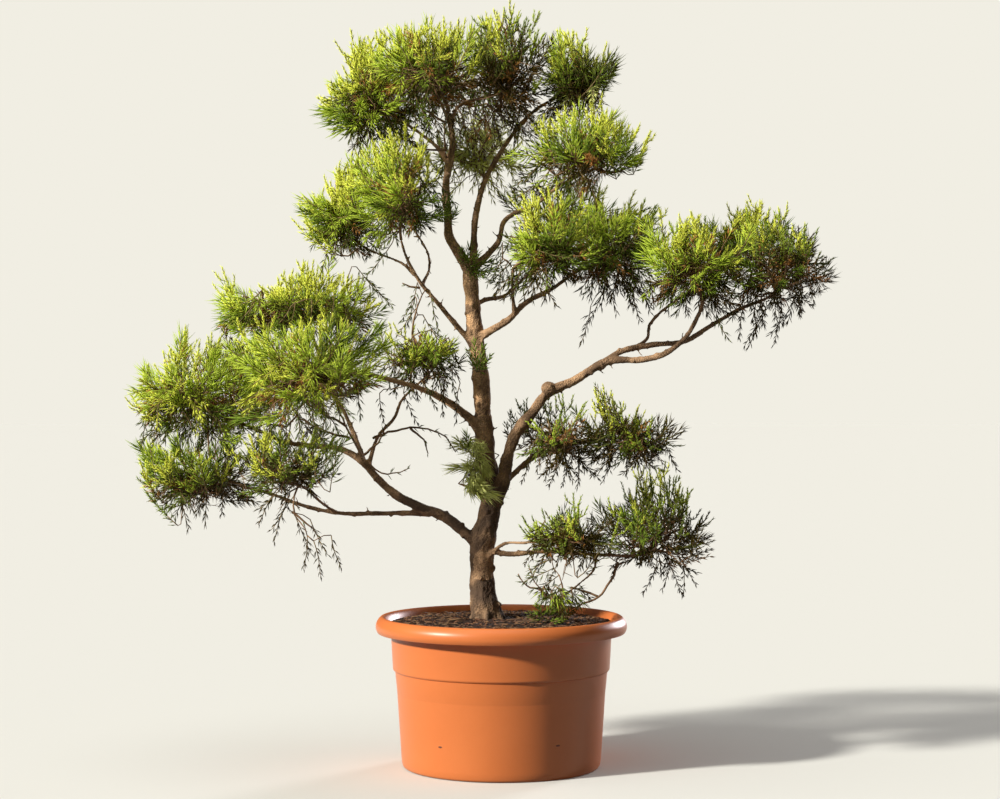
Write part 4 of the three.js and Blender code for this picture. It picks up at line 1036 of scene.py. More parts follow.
def build_limbs():
    """The trunk and all boughs with their collars, knobs, snags, wounds and roots, fused into one mesh."""
    chance = np.random.default_rng(41)
    parts = []
    for name, (points, radii) in limb_table.items():
        runs = runs_along(points)
        tangents, *normals = frames_along(points)
        swell = 1 + 0.05 * np.sin(runs / 17 + len(name)) + 0.04 * np.sin(runs / 7.3 + 2 * len(name))
        grown = radii * swell
        if name != "trunk":
            collar = 1 + 0.5 * np.exp(-runs / 16)
            grown = grown * collar
        parts.append(curve_tube(name, points, grown, 3))
        for run in np.arange(KNOB_ENDS[0], runs[-1] - KNOB_ENDS[1], KNOB_STEP):
            i = int(np.searchsorted(runs, run + chance.uniform(-10, 10)))
            i = min(max(i, 1), len(points) - 2)
            parts += old_twig(points, radii, tangents, normals, i, chance)
    for x, y, z, radius in KNOTS:
        parts.append(knob((x, y, z), radius, (1, 1, 0.94)))
    parts += [root(k, chance) for k in range(ROOT_COUNT)]
    select_only(*parts)
    bpy.ops.object.join()
    limbs = named("trunk_and_boughs")
    apply_modifier(limbs, "REMESH", "fuse", mode="VOXEL", voxel_size=2.5 * MM)
    apply_modifier(limbs, "SMOOTH", "soften", factor=0.5, iterations=2)
    raise_bark(limbs)
    return limbs


def bark_shade(place, side, radius):
    """How dark the bark is: painted shade low on the trunk and beside the trunk, more so at the right, and
    darker round the big knot.
    """
    if radius <= TWIG_UNDER:
        return TWIG_SHADE
    x, _, z = place
    knot_x, knot_z, knot_spread = KNOT_RING
    low = bell(z, BAND) + 0.95 / (1 + math.exp((z - FOOT[0]) / FOOT[1]))
    low += 0.7 * math.exp(-((x - knot_x) ** 2 + (z - knot_z) ** 2) / knot_spread)
    low *= 0.85 + 0.6 * noise.noise(Vector(place) / 28)
    beside = 0.5 * bell(x, BESIDE[0]) * bell(z, BESIDE[1])
    return min(0.95, max(low, beside) * (1 - 0.28 * max(0.0, -side)) + 0.3 * max(0.0, side))


def bark_painted_sunlight(place, side, radius):
    """How much painted sunlight the bark gets, as a tan: in patches up the left of the upper trunk, and on
    the boughs at the left.
    """
    x, y, z = place
    painted_sunlight = 0.0
    if radius > TRUNK_OVER:
        stripe = bell(z, STRIPE[1], 4) * bell(x, STRIPE[0], 4)
        patches = within(0.75 + 1.2 * noise.noise(Vector((x / 9, y / 9, z / 30))))
        painted_sunlight = 0.95 * stripe * patches * within(0.15 - 1.3 * side)
    return max(painted_sunlight, 0.8 * bell(x, LEFT_BOUGHS[0], 4) * bell(z, LEFT_BOUGHS[1], 4))


def raise_bark(limbs):
    """Pushes cracks into the bark between scaly plates, and keeps for each point how deep its crack is, how
    dark its painted shade is and how tan its painted sunlight is.
    """
    rows = []
    for tag, (points, radii) in enumerate(limb_table.values()):
        _, first, second = frames_along(points)
        rows += zip(points, first, second, runs_along(points), radii, [tag * 7.7] * len(points))
    tree = kdtree.KDTree(len(rows))
    for i, row in enumerate(rows):
        tree.insert(row[0], i)
    tree.balance()
    mesh = limbs.data
    count = len(mesh.vertices)
    painted = {name: np.zeros(count, np.float32) for name in ("crevice", "shade", "painted_sunlight")}
    moves = np.zeros((count, 3), np.float32)
    for k, vertex in enumerate(mesh.vertices):
        place = np.array(vertex.co) / MM
        _, i, _ = tree.find(place)
        centre, first, second, run, radius, tag = rows[i]
        away = place - centre
        plate = PLATE_SIZE[0] + PLATE_SIZE[1] * radius
        run = run + away.dot(np.cross(first, second))
        spot = Vector((away.dot(first) / plate, away.dot(second) / plate,
                       run / (plate * PLATE_STRETCH) + tag))
        warp = noise.noise_vector(spot * 0.9) * 0.75
        near, _ = noise.voronoi(spot + warp)
        crack = min(1.0, (near[1] - near[0]) / CRACK_WIDTH)
        crack = 1 - (1 - crack) * within(0.55 + 1.1 * noise.noise(spot * 0.4), 0.15)
        lumps = noise.fractal(spot * 0.45, 0.7, 2.0, 4)
        amount = min(RELIEF[2], RELIEF[0] + RELIEF[1] * radius)
        push = amount * (crack - 1.0) * CRACK_SHARE + amount * LUMP_SHARE * lumps
        moves[k] = np.array(vertex.normal) * push
        side = float(vertex.normal.x)
        painted["crevice"][k] = 0.8 * max(0.0, 1 - crack) * min(1.0, 0.25 + radius / 22)
        painted["shade"][k] = bark_shade(place, side, radius)
        painted["painted_sunlight"][k] = bark_painted_sunlight(place, side, radius)
    flat = np.zeros(count * 3, np.float32)
    mesh.vertices.foreach_get("co", flat)
    mesh.vertices.foreach_set("co", flat + moves.ravel() * MM)
    for name, values in painted.items():
        mesh.attributes.new(name, "FLOAT", "POINT").data.foreach_set("value", values)
    mesh.polygons.foreach_set("use_smooth", np.full(len(mesh.polygons), True))
    mesh.update()


limbs_piece = build_limbs()
limbs_piece.data.materials.clear()
limbs_piece.data.materials.append(BARK)
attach(limbs_piece, "root")
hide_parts("trunk", *[row["name"] for row in BOUGHS])


# Foliage

# Open air that shows through the crown from the front: x, z, half width, half height on the middle plane.
OPEN_AIR = [
    (-143, 935, 42, 62), (-105, 905, 34, 50), (32, 800, 40, 60), (60, 850, 46, 26), (-150, 640, 60, 30),
    (-95, 600, 40, 50), (-200, 560, 30, 22), (250, 1160, 55, 26),
]

# Limbs that show from the front: x, z, half width, half height, and the y that foliage stays behind.
OPEN_FRONT = [
    (-62, 1312, 62, 36, 10), (-100, 1230, 34, 60, 0), (-130, 1150, 36, 60, 0),
    (-215, 640, 70, 62, -30), (-265, 575, 70, 40, -30), (330, 830, 70, 42, -20),
    (8, 600, 26, 50, 15), (35, 665, 30, 42, 15), (72, 718, 32, 30, 15), (118, 752, 34, 22, 15),
]

# The crown's outline from the front, as columns and rows of the photo.
OUTLINES = {
    "crown": [
        (316,95), (326,87), (338,74), (348,60), (350,40), (366,36), (384,28), (412,28), (432,16), (455,22),
        (466,16), (480,20), (488,8), (500,12), (514,2), (524,12), (542,10), (548,26), (572,24), (588,40),
        (590,56), (602,60), (614,48), (621,62), (602,86), (598,100), (578,112), (545,119), (530,124),
        (528,150), (500,196), (430,196), (416,150), (395,150), (380,152), (350,138), (322,124)],
    "upper_left": [
        (362,134), (356,148), (336,168), (336,186), (342,194), (322,198), (296,196), (294,206), (302,218),
        (296,234), (312,244), (336,258), (366,266), (392,250), (404,240), (440,232), (450,240), (462,215),
        (450,196), (436,150), (410,145), (385,145)],
    "upper_right": [
        (545,124), (560,118), (586,120), (598,116), (608,102), (616,110), (622,120), (640,126), (654,124),
        (650,146), (650,158), (636,170), (612,184), (600,192), (604,200), (622,206), (638,202), (650,188),
        (664,200), (658,214), (664,230), (668,234), (690,208), (710,210), (714,228), (726,222), (736,200),
        (746,206), (758,194), (766,216), (780,204), (784,224), (802,224), (814,236), (818,252), (838,250),
        (842,272), (840,290), (818,298), (816,312), (810,322), (770,322), (740,312), (700,322), (664,320),
        (648,304), (620,300), (590,282), (560,292), (520,300), (484,298), (482,280), (500,262), (506,236),
        (522,224), (520,205), (490,196), (512,160), (528,150)],
    "left": [
        (214,258), (224,266), (236,288), (256,280), (272,284), (288,266), (298,280), (308,258), (322,278),
        (334,268), (364,274), (370,290), (390,300), (400,322), (420,320), (440,332), (458,336), (468,350),
        (468,374), (450,388), (420,390), (392,388), (366,392), (356,420), (350,440), (366,454), (360,480),
        (350,504), (300,500), (282,516), (262,536), (250,520), (222,506), (204,526), (184,530), (166,520),
        (156,500), (140,498), (136,486), (148,476), (136,462), (136,444), (146,430), (132,410), (126,388),
        (136,378), (140,362), (163,354), (186,324), (198,338), (216,338), (212,314), (216,296)],
    "middle_right": [
        (502,440), (504,418), (520,410), (536,398), (560,394), (578,396), (590,380), (606,382), (614,398),
        (622,392), (632,414), (660,410), (676,420), (692,418), (678,440), (664,454), (646,462), (628,468),
        (600,474), (580,488), (540,490), (510,474)],
    "low_right": [
        (518,530), (524,520), (542,518), (552,510), (572,504), (592,498), (616,502), (634,490), (646,466),
        (660,460), (682,468), (686,500), (700,506), (716,514), (718,545), (712,560), (694,566), (694,596),
        (680,604), (664,582), (640,570), (600,570), (580,560), (560,546), (530,548)],
    "low_right_loop": [
        (512,560), (540,560), (600,560), (590,584), (566,600), (540,590), (520,576)],
    "soil_tuft": [
        (520,590), (592,590), (592,632), (520,632)],
    "trunk_side": [
        (455,430), (486,430), (492,500), (478,498), (455,480)],
}


def on_middle_plane(p):
    """Where a point shows on the plane through the pot's axis, seen from the camera."""
    camera_x, camera_y, camera_z = CAMERA_PLACE
    share = -camera_y / (p[1] - camera_y)
    return camera_x + (p[0] - camera_x) * share, camera_z + (p[2] - camera_z) * share


def in_ellipse(x, z, middle_x, middle_z, half_width, half_height):
    return ((x - middle_x) / half_width) ** 2 + ((z - middle_z) / half_height) ** 2 < 1


def in_open_air(p):
    """Whether a point covers open air or a limb that shows from the front."""
    x, z = on_middle_plane(p)
    if any(in_ellipse(x, z, *gap) for gap in OPEN_AIR):
        return True
    return any(p[1] < front and in_ellipse(x, z, *gap) for *gap, front in OPEN_FRONT)


def in_polygon(x, z, corners):
    inside = False
    for (x0, z0), (x1, z1) in zip(corners, corners[1:] + corners[:1]):
        if (z0 > z) != (z1 > z) and x < x0 + (z - z0) / (z1 - z0) * (x1 - x0):
            inside = not inside
    return inside


OUTLINES_IN_MM = [[from_photo(*corner)[::2] for corner in corners] for corners in OUTLINES.values()]


def in_outline(p):
    x, z = on_middle_plane(p)
    return any(in_polygon(x, z, corners) for corners in OUTLINES_IN_MM)


def depth_in(mass, p):
    """0 at the centre of a mass and 1 on its surface."""
    return math.hypot(*((p[i] - mass["centre"][i]) / mass["reach"][i] for i in range(3)))


def in_own_space(mass, p, edge):
    """Whether a point lies nearer to this mass than to any other, and no deeper out than the edge."""
    own = depth_in(mass, p)
    if own >= edge:
        return False
    return all(other is mass or own < depth_in(other, p) for other in MASSES)


def second_depth(mass, p):
    """How deep a point lies in the nearest of the other masses."""
    return min(depth_in(other, p) for other in MASSES if other is not mass)


def surface_of(reach):
    """Area of an ellipsoid, near enough, by its half sizes."""
    a, b, c = reach
    power = 1.6075
    return 4 * math.pi * (((a * b) ** power + (a * c) ** power + (b * c) ** power) / 3) ** (1 / power)


limb_places = np.vstack([points for points, _ in limb_table.values()])
limb_sizes = np.concatenate([radii for _, radii in limb_table.values()])


def clear_of_limbs(points, margin):
    gaps = np.linalg.norm(points[:, None, :] - limb_places[None], axis=2) - limb_sizes[None]
    return float(gaps.min()) > margin


def bezier(p0, p1, p2, p3, count):
    t = np.linspace(0, 1, count)[:, None]
    return (1 - t) ** 3 * p0 + 3 * (1 - t) ** 2 * t * p1 + 3 * (1 - t) * t ** 2 * p2 + t ** 3 * p3


def stem_of(mass):
    """The stem from the bough's tip, or the side of the trunk, to the heart of the mass."""
    centre = np.array(mass["centre"], float)
    points, radii = limb_table[mass["from"]]
    if mass["from"] == "trunk":
        near = int(np.argmin(np.linalg.norm(points - centre, axis=1)))
        foot = points[near]
        heading = unit((centre - foot) * [1, 1, 0])
        radius = TRUNK_SHOOT_RADIUS
    else:
        foot = points[-1]
        heading = unit(points[-1] - points[-2])
        radius = radii[-1]
    heart = centre - np.array([0, 0, HEART_DROP * mass["reach"][2]])
    bend = foot + heading * 0.45 * np.linalg.norm(heart - foot)
    count = max(4, int(np.linalg.norm(heart - foot) / STEM_STEP))
    t = np.linspace(0, 1, count)[:, None]
    return (1 - t) ** 2 * foot + 2 * (1 - t) * t * bend + t ** 2 * heart, radius


def either_way(chance):
    """A random vector of up to a half each way."""
    return np.array([chance() - 0.5, chance() - 0.5, chance() - 0.5])


def shoot_ends(mass, chance):
    """Ends of the shoots: rounds of the golden angle over the mass's space, from the outer shell in."""
    ends = []
    for depth, spacing in SHELLS:
        reach = np.array(mass["reach"], float) * depth
        if min(reach) < SMALLEST_SHELL:
            continue
        spacing *= within(min(reach) / FULL_SPACING_REACH, 0.5)
        count = max(5, int(round(surface_of(reach) / spacing ** 2)))
        turn = chance() * TURN
        for i in range(count):
            height = 1 - (1 - LOWEST_SHOOT) * (i + 0.5) / count
            flat = math.sqrt(1 - height * height)
            angle = turn + i * GOLDEN_ANGLE
            out = np.array([flat * math.cos(angle), flat * math.sin(angle), height])
            pull = 1.0 - END_DRAW_IN * chance() ** 1.5
            jitter = either_way(chance) * END_JITTER
            ends.append((reach * out * pull + jitter, out, depth))
    return ends


def aim_of(mass, out, chance):
    """The way a shoot points: outwards and up, or down where the mass hangs."""
    lift = HANGING_LIFT if mass.get("hangs") else float(np.interp(out[2], *LIFT_BY_HEIGHT))
    scatter = either_way(chance) * [1, 1, 0.8] * AIM_SCATTER
    return unit(out * AIM_WEIGHTS + [0, 0, lift] + scatter)


class Growth:
    """The twigs of one mass: points with the one before each, and how far out each lies."""

    def __init__(self, stem, radius):
        self.places = [p for p in stem]
        self.before = [-1] + list(range(len(stem) - 1))
        self.runs = [0.0]
        for a, b in zip(stem, stem[1:]):
            self.runs.append(self.runs[-1] + float(np.linalg.norm(b - a)))
        self.stem_count = len(stem)
        self.foot_radius = radius
        self.chains = [list(range(len(stem)))]
        self.ends = []

    def branch_to(self, base, aim, chance):
        """Grows a twig from the best point to the base of a shoot, and gives back the twig's last point."""
        places = np.array(self.places)
        runs = np.array(self.runs)
        way = base - places
        gaps = np.linalg.norm(way, axis=1)
        ahead = np.zeros_like(places)
        before = np.array(self.before)
        held = before >= 0
        ahead[held] = places[held] - places[before[held]]
        ahead /= np.maximum(1e-9, np.linalg.norm(ahead, axis=1))[:, None]
        facing = (ahead * way).sum(1) / np.maximum(1e-9, gaps)
        cost = gaps + RUN_COST * runs + BACKWARD_COST * (facing < 0.05) + STEM_FOOT_COST * (runs < STEM_FREE)
        best = int(np.argmin(cost))
        gap = gaps[best]
        if gap < 1:
            return best
        start = places[best]
        lead = unit(ahead[best] * 0.55 + way[best] / gap)
        wobble = either_way(chance) * gap * 0.16
        count = max(2, int(round(gap / TWIG_STEP)) + 1)
        line = bezier(start, start + lead * gap * 0.36 + wobble, base - aim * gap * 0.3, base, count)
        chain = [best]
        for p in line[1:]:
            self.places.append(p)
            self.before.append(chain[-1])
            self.runs.append(self.runs[chain[-1]] + float(np.linalg.norm(p - self.places[chain[-1]])))
            chain.append(len(self.places) - 1)
        self.chains.append(chain)
        return chain[-1]

    def radii(self):
        """Thickness by the number of shoots that each point bears."""
        load = np.zeros(len(self.places))
        for end in self.ends:
            load[end] += 1
        for i in range(len(self.places) - 1, 0, -1):
            load[self.before[i]] += load[i]
        radii = TWIG_END_RADIUS * np.maximum(1, load) ** TWIG_POWER
        limit = np.full(len(radii), self.foot_radius)
        stem_end = self.foot_radius * STEM_TAPER
        limit[:self.stem_count] = np.linspace(self.foot_radius, stem_end, self.stem_count)
        return np.minimum(radii, limit)


class Sprays:
    """Needles of one mass, gathered as arrays."""

    def __init__(self, seed, scale=1.0):
        self.chance = np.random.default_rng(seed)
        self.scale = scale
        self.rows = []

    def add(self, line, kind, tone):
        """Pairs of needles along part of a line, which spiral round it, in one of the sets."""
        spacing, lengths, leans, share, droop = NEEDLE_SETS[kind]
        chance = self.chance
        tangents, first, second = frames_along(line)
        runs = runs_along(line)
        start, stop = share[0] * runs[-1], share[1] * runs[-1]
        count = max(2, int((stop - start) / spacing))
        at = start + (np.arange(count) + chance.uniform(0, 1, count)) / count * (stop - start)
        u = (at - start) / max(1e-6, stop - start)
        place = np.stack([np.interp(at, runs, line[:, k]) for k in range(3)], 1)
        index = np.clip(np.searchsorted(runs, at), 0, len(line) - 1)
        ahead, one, two = tangents[index], first[index], second[index]
        angle = np.arange(count) * GOLDEN_ANGLE + chance.uniform(0, TURN)
        for sign in (-1, 1):
            turn = angle + sign * PAIR_ANGLE + chance.normal(0, 0.12, count)
            out = np.cos(turn)[:, None] * one + np.sin(turn)[:, None] * two
            lean = (leans[0] + (leans[1] - leans[0]) * u) * chance.uniform(0.72, 1.2, count)
            length = lengths[0] + (lengths[1] - lengths[0]) * u
            length = length * chance.uniform(0.78, 1.15, count) * self.scale
            heading = np.cos(lean)[:, None] * ahead + np.sin(lean)[:, None] * out
            middle = place + heading * (length * NEEDLE_PARTS[0])[:, None]
            bent = heading + BEND_AHEAD * ahead + chance.normal(0, 0.1, (count, 3))
            bent[:, 2] -= droop * chance.uniform(0.4, 1.4, count)
            bent /= np.linalg.norm(bent, axis=1)[:, None]
            tip = middle + bent * (length * NEEDLE_PARTS[1])[:, None]
            self.keep(place, middle, tip, NEEDLE_WIDTH * chance.uniform(0.85, 1.1, count), tone,
                      kind in STRAIGHT_SETS)

    def keep(self, base, middle, tip, width, tone, straight):
        self.rows.append((base, middle, tip, width, np.full(len(base), tone), np.full(len(base), straight)))

    def piece(self, name):
        """All needles inside the allowed box as one mesh: thin darts, bent or straight, with a tone each."""
        columns = [np.concatenate(column) for column in zip(*self.rows)]
        tip = columns[2]
        low_limit = np.array(cad_low) / MM - PROUD
        high_limit = np.array(cad_high) / MM + PROUD
        inside = ((tip > low_limit) & (tip < high_limit)).all(1)
        base, middle, tip, width, tone, straight = [column[inside] for column in columns]
        middle[straight] = base[straight]
        axis = tip - base
        axis /= np.linalg.norm(axis, axis=1)[:, None]
        helper = np.where(np.abs(axis[:, 2:3]) < 0.9, [[0.0, 0.0, 1.0]], [[1.0, 0.0, 0.0]])
        one = np.cross(axis, helper)
        one /= np.linalg.norm(one, axis=1)[:, None]
        two = np.cross(axis, one)
        turn = self.chance.uniform(0, TURN, len(base))
        ring = []
        for k in range(3):
            angle = turn + k * 2 * math.pi / 3
            side = np.cos(angle)[:, None] * one + np.sin(angle)[:, None] * two
            ring.append(middle + side * (width * 0.577)[:, None])
        bent_places = np.stack([tip, *ring, base], 1)[~straight]
        straight_places = np.stack([tip, *ring], 1)[straight]
        point = [[1, 2, 0], [2, 3, 0], [3, 1, 0]]
        bent_faces = np.array(point + [[4, 2, 1], [4, 3, 2], [4, 1, 3]])
        straight_faces = np.array(point + [[1, 3, 2]])
        bent_faces = bent_faces[None] + (np.arange(len(bent_places)) * 5)[:, None, None]
        straight_faces = straight_faces[None] + (np.arange(len(straight_places)) * 4)[:, None, None]
        straight_faces = straight_faces + 5 * len(bent_places)
        places = np.vstack([bent_places.reshape(-1, 3), straight_places.reshape(-1, 3)])
        faces = np.vstack([bent_faces.reshape(-1, 3), straight_faces.reshape(-1, 3)])
        tones = np.concatenate([np.repeat(tone[~straight], 6), np.repeat(tone[straight], 4)])
        return mesh_piece(name, places, faces, tones)


def tone_of(mass, out, depth, draw, end, index):
    """Which needle colour a spray gets from painted light, painted sunlight or painted shade, by where it is
    in its mass and in the crown.
    """
    patch = noise.noise(Vector(end / PATCH_SIZE) + Vector((0, index * 2.7, 5)))
    up, right, back, inner, luck, patchy = LIGHT_WEIGHTS
    light = (up * out[2] * depth + right * out[0] + back * out[1] + mass["sun"] + inner * (1 - depth)
             + luck * (draw - 0.5) + patchy * patch)
    if light > NEW_OVER:
        return NEW_AND_SUNLIT
    if light > BRIGHT_OVER:
        return BRIGHT
    if light > GREEN_OVER:
        return GREEN if draw < 0.75 else COOL
    if light > COOL_OVER:
        return COOL if draw < 0.45 else GREEN
    return DEEP


def side_candles(line, chance):
    """Two short shoots that fork from a longer one and turn up beside it."""
    candles = []
    ahead = unit(line[-1] - line[-2])
    length = float(np.linalg.norm(line[-1] - line[0]))
    turn = chance() * 2 * math.pi
    helper = unit(np.cross(ahead, [0.3, 0.5, 0.2]))
    for k in range(2):
        place = line[2] + (line[4] - line[2]) * chance()
        angle = turn + k * (2.1 + chance())
        out = math.cos(angle) * helper + math.sin(angle) * np.cross(ahead, helper)
        reach = length * (CANDLE_REACH[0] + CANDLE_REACH[1] * chance())
        bend = place + unit(ahead * 0.75 + out) * reach * 0.5
        tip = bend + unit(ahead + out * 0.45 + np.array([0, 0, 0.2])) * reach * 0.55
        candles.append(np.array([place, bend, tip]))
    return candles


def pulled_in(centre, way, aim):
    """The end of a shoot, pulled in until the needles at its tip are inside the outline, or nothing."""
    for share in PULLS:
        end = centre + way * share
        if in_outline(end + aim * TIP_REACH):
            return end
    return None


def may_grow(mass, index, base, end, out, depth, draw):
    """Whether a shoot stays in its mass's space and off the creases, the open air and the clumps' gaps."""
    if not in_own_space(mass, end, OWN_SPACE) or not in_own_space(mass, base, OWN_SPACE):
        return False
    if depth > 1 and second_depth(mass, end) > CREASE_REACH:
        return False
    if in_open_air(end) or in_open_air((end + base) / 2):
        return False
    clump = noise.noise(Vector(end / CLUMP_SIZE) + Vector((index * 3.1, 0, 0)))
    if clump < CLUMP_GAP and depth > 0.6:
        return False
    return draw >= mass.get("thin", 0) or out[2] >= THIN_BELOW


def set_shoot_line(end, out, aim, kind, chance):
    """Base, end and way of a shoot that is set by its end: tips rise, wisps hang, brushes stand out."""
    shortest, longer, drawn_back = SET_SHOOTS[kind]
    length = shortest + longer * chance()
    if kind == "tips":
        aim = unit(aim + np.array([0, 0, 0.5]))
    elif kind == "wisps":
        aim = unit(np.array([0.7 * aim[0], 0.7 * aim[1], -0.7]))
    elif kind in ("brushes", "dead"):
        aim = unit(np.array([0.75 * out[0], 0.9 * out[1], 0.35 * out[2] + 0.12]) + 0.2 * (aim - out))
    end = end - aim * drawn_back
    return end - aim * length, end, aim, length


def grow_shoots(mass, index, growth, heart, chance):
    """The mass's shoots from the heart outwards, each as (line, direction, kind or depth, draw)."""
    shoots = []
    centre = np.array(mass["centre"], float)
    ends = shoot_ends(mass, chance)
    for kind in SET_SHOOTS:
        for reading in mass.get(kind, ()):
            way = np.array(from_photo(*reading), float) - centre
            ends.append((way, unit(way / np.array(mass["reach"], float)), kind))
    ends.sort(key=lambda row: float(np.linalg.norm(centre + row[0] - heart)))
    shortest, longer = SHOOT_LENGTH
    for way, out, kind in ends:
        aim = aim_of(mass, out, chance)
        draw = chance()
        length = (shortest + longer * chance()) * (1 if kind in SET_SHOOTS or kind > 0.9 else INNER_SHOOT)
        length *= min(1, min(mass["reach"]) / FULL_LENGTH_REACH)
        if kind in SET_SHOOTS:
            base, end, aim, length = set_shoot_line(centre + way, out, aim, kind, chance)
        else:
            end = pulled_in(centre, way, aim)
            if end is None:
                continue
            base = end - aim * length
            if not may_grow(mass, index, base, end, out, kind, draw):
                continue
        if not clear_of_limbs(np.array([base, (base + end) / 2, end]), LIMB_MARGIN):
            continue
        growth.ends.append(growth.branch_to(base, aim, chance))
        sway = either_way(chance) * length * 0.2
        lift = np.array([0, 0, -0.12 if mass.get("hangs") else 0.16]) * length
        line = bezier(base, base + (aim * length - lift) * 0.4 + sway, end - (aim * length + lift) * 0.3,
                      end, 6)
        shoots.append((line, out, kind, draw))
    return shoots


def tuft_shoots(mass, chance):
    """Short shoots that share a foot on a limb and rise from it."""
    shoots = []
    for reading, *ends in mass.get("tufts", ()):
        foot = np.array(from_photo(*reading), float)
        for end in ends:
            tip = np.array(from_photo(*end), float)
            rise = np.array([0, 0, 0.3]) * np.linalg.norm(tip - foot)
            line = bezier(foot, foot + (tip - foot) * 0.35 - rise, tip - (tip - foot) * 0.3, tip, 6)
            shoots.append((line, unit(tip - foot), "tufts", chance()))
    return shoots


def dress_shoot(mass, index, sprays, shoot, chance):
    """Puts the needles on a shoot, and gives back the green twigs that they stand on."""
    line, out, kind, draw = shoot
    is_set = isinstance(kind, str)
    tone = tone_of(mass, out, 1.0 if is_set else kind, draw, line[-1], index)
    under = out[2] < UNDER
    fresh = max(NEW_AND_SUNLIT, tone - 1) if out[2] > FRESH_OVER and draw > 0.25 else tone
    # Some masses take the brightly lit colour instead: painted light for needles that the scene shades.
    if mass.get("lit_paint_share", 0) > draw * 7.3 % 1:
        tone = PAINTED_LIT
        fresh = PAINTED_LIT
    side_lines = []
    if kind == "brushes":
        if tone != PAINTED_LIT:
            tone = BRIGHT if tone < COOL and draw < 0.6 else GREEN
        sprays.add(line, kind, tone)
    elif kind == "wisps":
        sprays.add(line, kind, max(tone, COOL))
    elif kind == "dead":
        sprays.add(line, kind, DEAD)
    # Fill shoots in the shadowed gaps: often the deep colour, as painted shade.
    elif kind == "fills":
        sprays.add(line, kind, max(tone, COOL) if draw < 0.6 else DEEP)
    elif kind == "tufts":
        sprays.add(line, kind, max(tone, GREEN))
    # Inner and under shoots: some dead, the rest the deep colour as painted shade inside the mass.
    elif tone != PAINTED_LIT and draw < 0.35 and (under or not is_set and kind < 0.8):
        sprays.add(line, "inner", DEAD if draw < 0.16 else DEEP)
    # Hanging shoots take lighter colours: painted light for needles that the scene shades.
    elif mass.get("hangs"):
        if tone != PAINTED_LIT:
            tone = BRIGHT if draw < 0.3 else GREEN if draw < 0.65 else COOL
        sprays.add(line, "hanging", tone)
    elif under:
        sprays.add(line, "under", tone)
    elif draw < (0.12 if out[2] > TOP else 0.58) and not is_set:
        sprays.add(line, "long", max(tone, BRIGHT))
    else:
        # Old needles at the shoot's foot: some dead, and a step darker more often where a mass gets less
        # painted sunlight, which is painted shade.
        old = max(tone, GREEN)
        if draw > 0.91:
            old = DEAD
        elif draw > 0.45 + 0.4 * mass["sun"]:
            old = min(DEEP, max(tone + 1, COOL))
        sprays.add(line, "old", old)
        sprays.add(line, "candle", fresh)
        side_lines = side_candles(line, chance)
        for side_line in side_lines:
            sprays.add(side_line, "side_candle", fresh)
    green_lines = [(side_line, np.array(CANDLE_RADII)) for side_line in side_lines]
    green_lines.append((line, np.linspace(*SHOOT_RADII, len(line))))
    return green_lines


def grow_mass(mass, index):
    """Needles, old twigs and green twigs of one mass."""
    chance = random_from(1000 + index)
    stem, radius = stem_of(mass)
    growth = Growth(stem, radius)
    sprays = Sprays(3000 + index, mass.get("needle", 1.0))
    shoots = grow_shoots(mass, index, growth, stem[-1], chance)
    shoots += tuft_shoots(mass, chance)
    green_lines = []
    for shoot in shoots:
        green_lines += dress_shoot(mass, index, sprays, shoot, chance)
    radii = growth.radii()
    bark_lines = []
    for chain in growth.chains:
        points = np.array([growth.places[i] for i in chain])
        sizes = radii[chain].copy()
        if len(chain) > 1 and chain is not growth.chains[0]:
            sizes[0] = sizes[1]
        if len(points) > 1:
            bark_lines.append((points, sizes))
    for readings in mass.get("bare", ()):
        line = centre_line([from_photo(*reading) for reading in readings], BARE_STEP)
        crook_size, crook = BARE_CROOK
        for place in line[1:-1]:
            place += np.array(noise.noise_vector(Vector(place / crook_size))) * crook
        bark_lines.append((line, np.linspace(*BARE_RADII, len(line))))
        sprays.add(line, "bare", COOL)
    bark_lines += bare_twiglets(mass, growth, radii, index)
    return sprays, bark_lines, green_lines


def bare_twiglets(mass, growth, radii, index):
    """Thin bare side twigs on the inner and lower part of a mass."""
    chance = np.random.default_rng(5000 + index)
    lines = []
    places = np.array(growth.places)
    count = int(len(places) * TWIGLET_SHARE) + 3
    for i in chance.integers(1, len(places), count):
        start = places[i]
        if depth_in(mass, start) > TWIGLET_DEPTH:
            continue
        way = unit(chance.normal(0, 1, 3) + np.array([0, 0, -0.35]))
        reach = chance.uniform(*TWIGLET_LENGTH)
        end = start + way * reach
        if in_open_air(end) or not in_outline(end) or not clear_of_limbs(end[None], 3):
            continue
        middle = (start + end) / 2 + chance.normal(0, 0.1, 3) * reach
        size = min(1.3, radii[i] * 0.7)
        lines.append((np.array([start, middle, end]), np.array([size, size * 0.8, size * 0.5])))
        for share in (0.4, 0.7):
            fork = start + (end - start) * share
            side = unit(way + chance.normal(0, 0.6, 3))
            tip = fork + side * reach * chance.uniform(0.3, 0.55)
            if not in_outline(tip):
                continue
            lines.append((np.array([fork, tip]), np.array([size * 0.7, size * 0.4])))
    return lines


def finish_piece(piece, slot, nodes, *materials):
    for material in materials:
        piece.data.materials.append(material)
    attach(piece, "root")
    if nodes:
        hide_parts(*nodes)


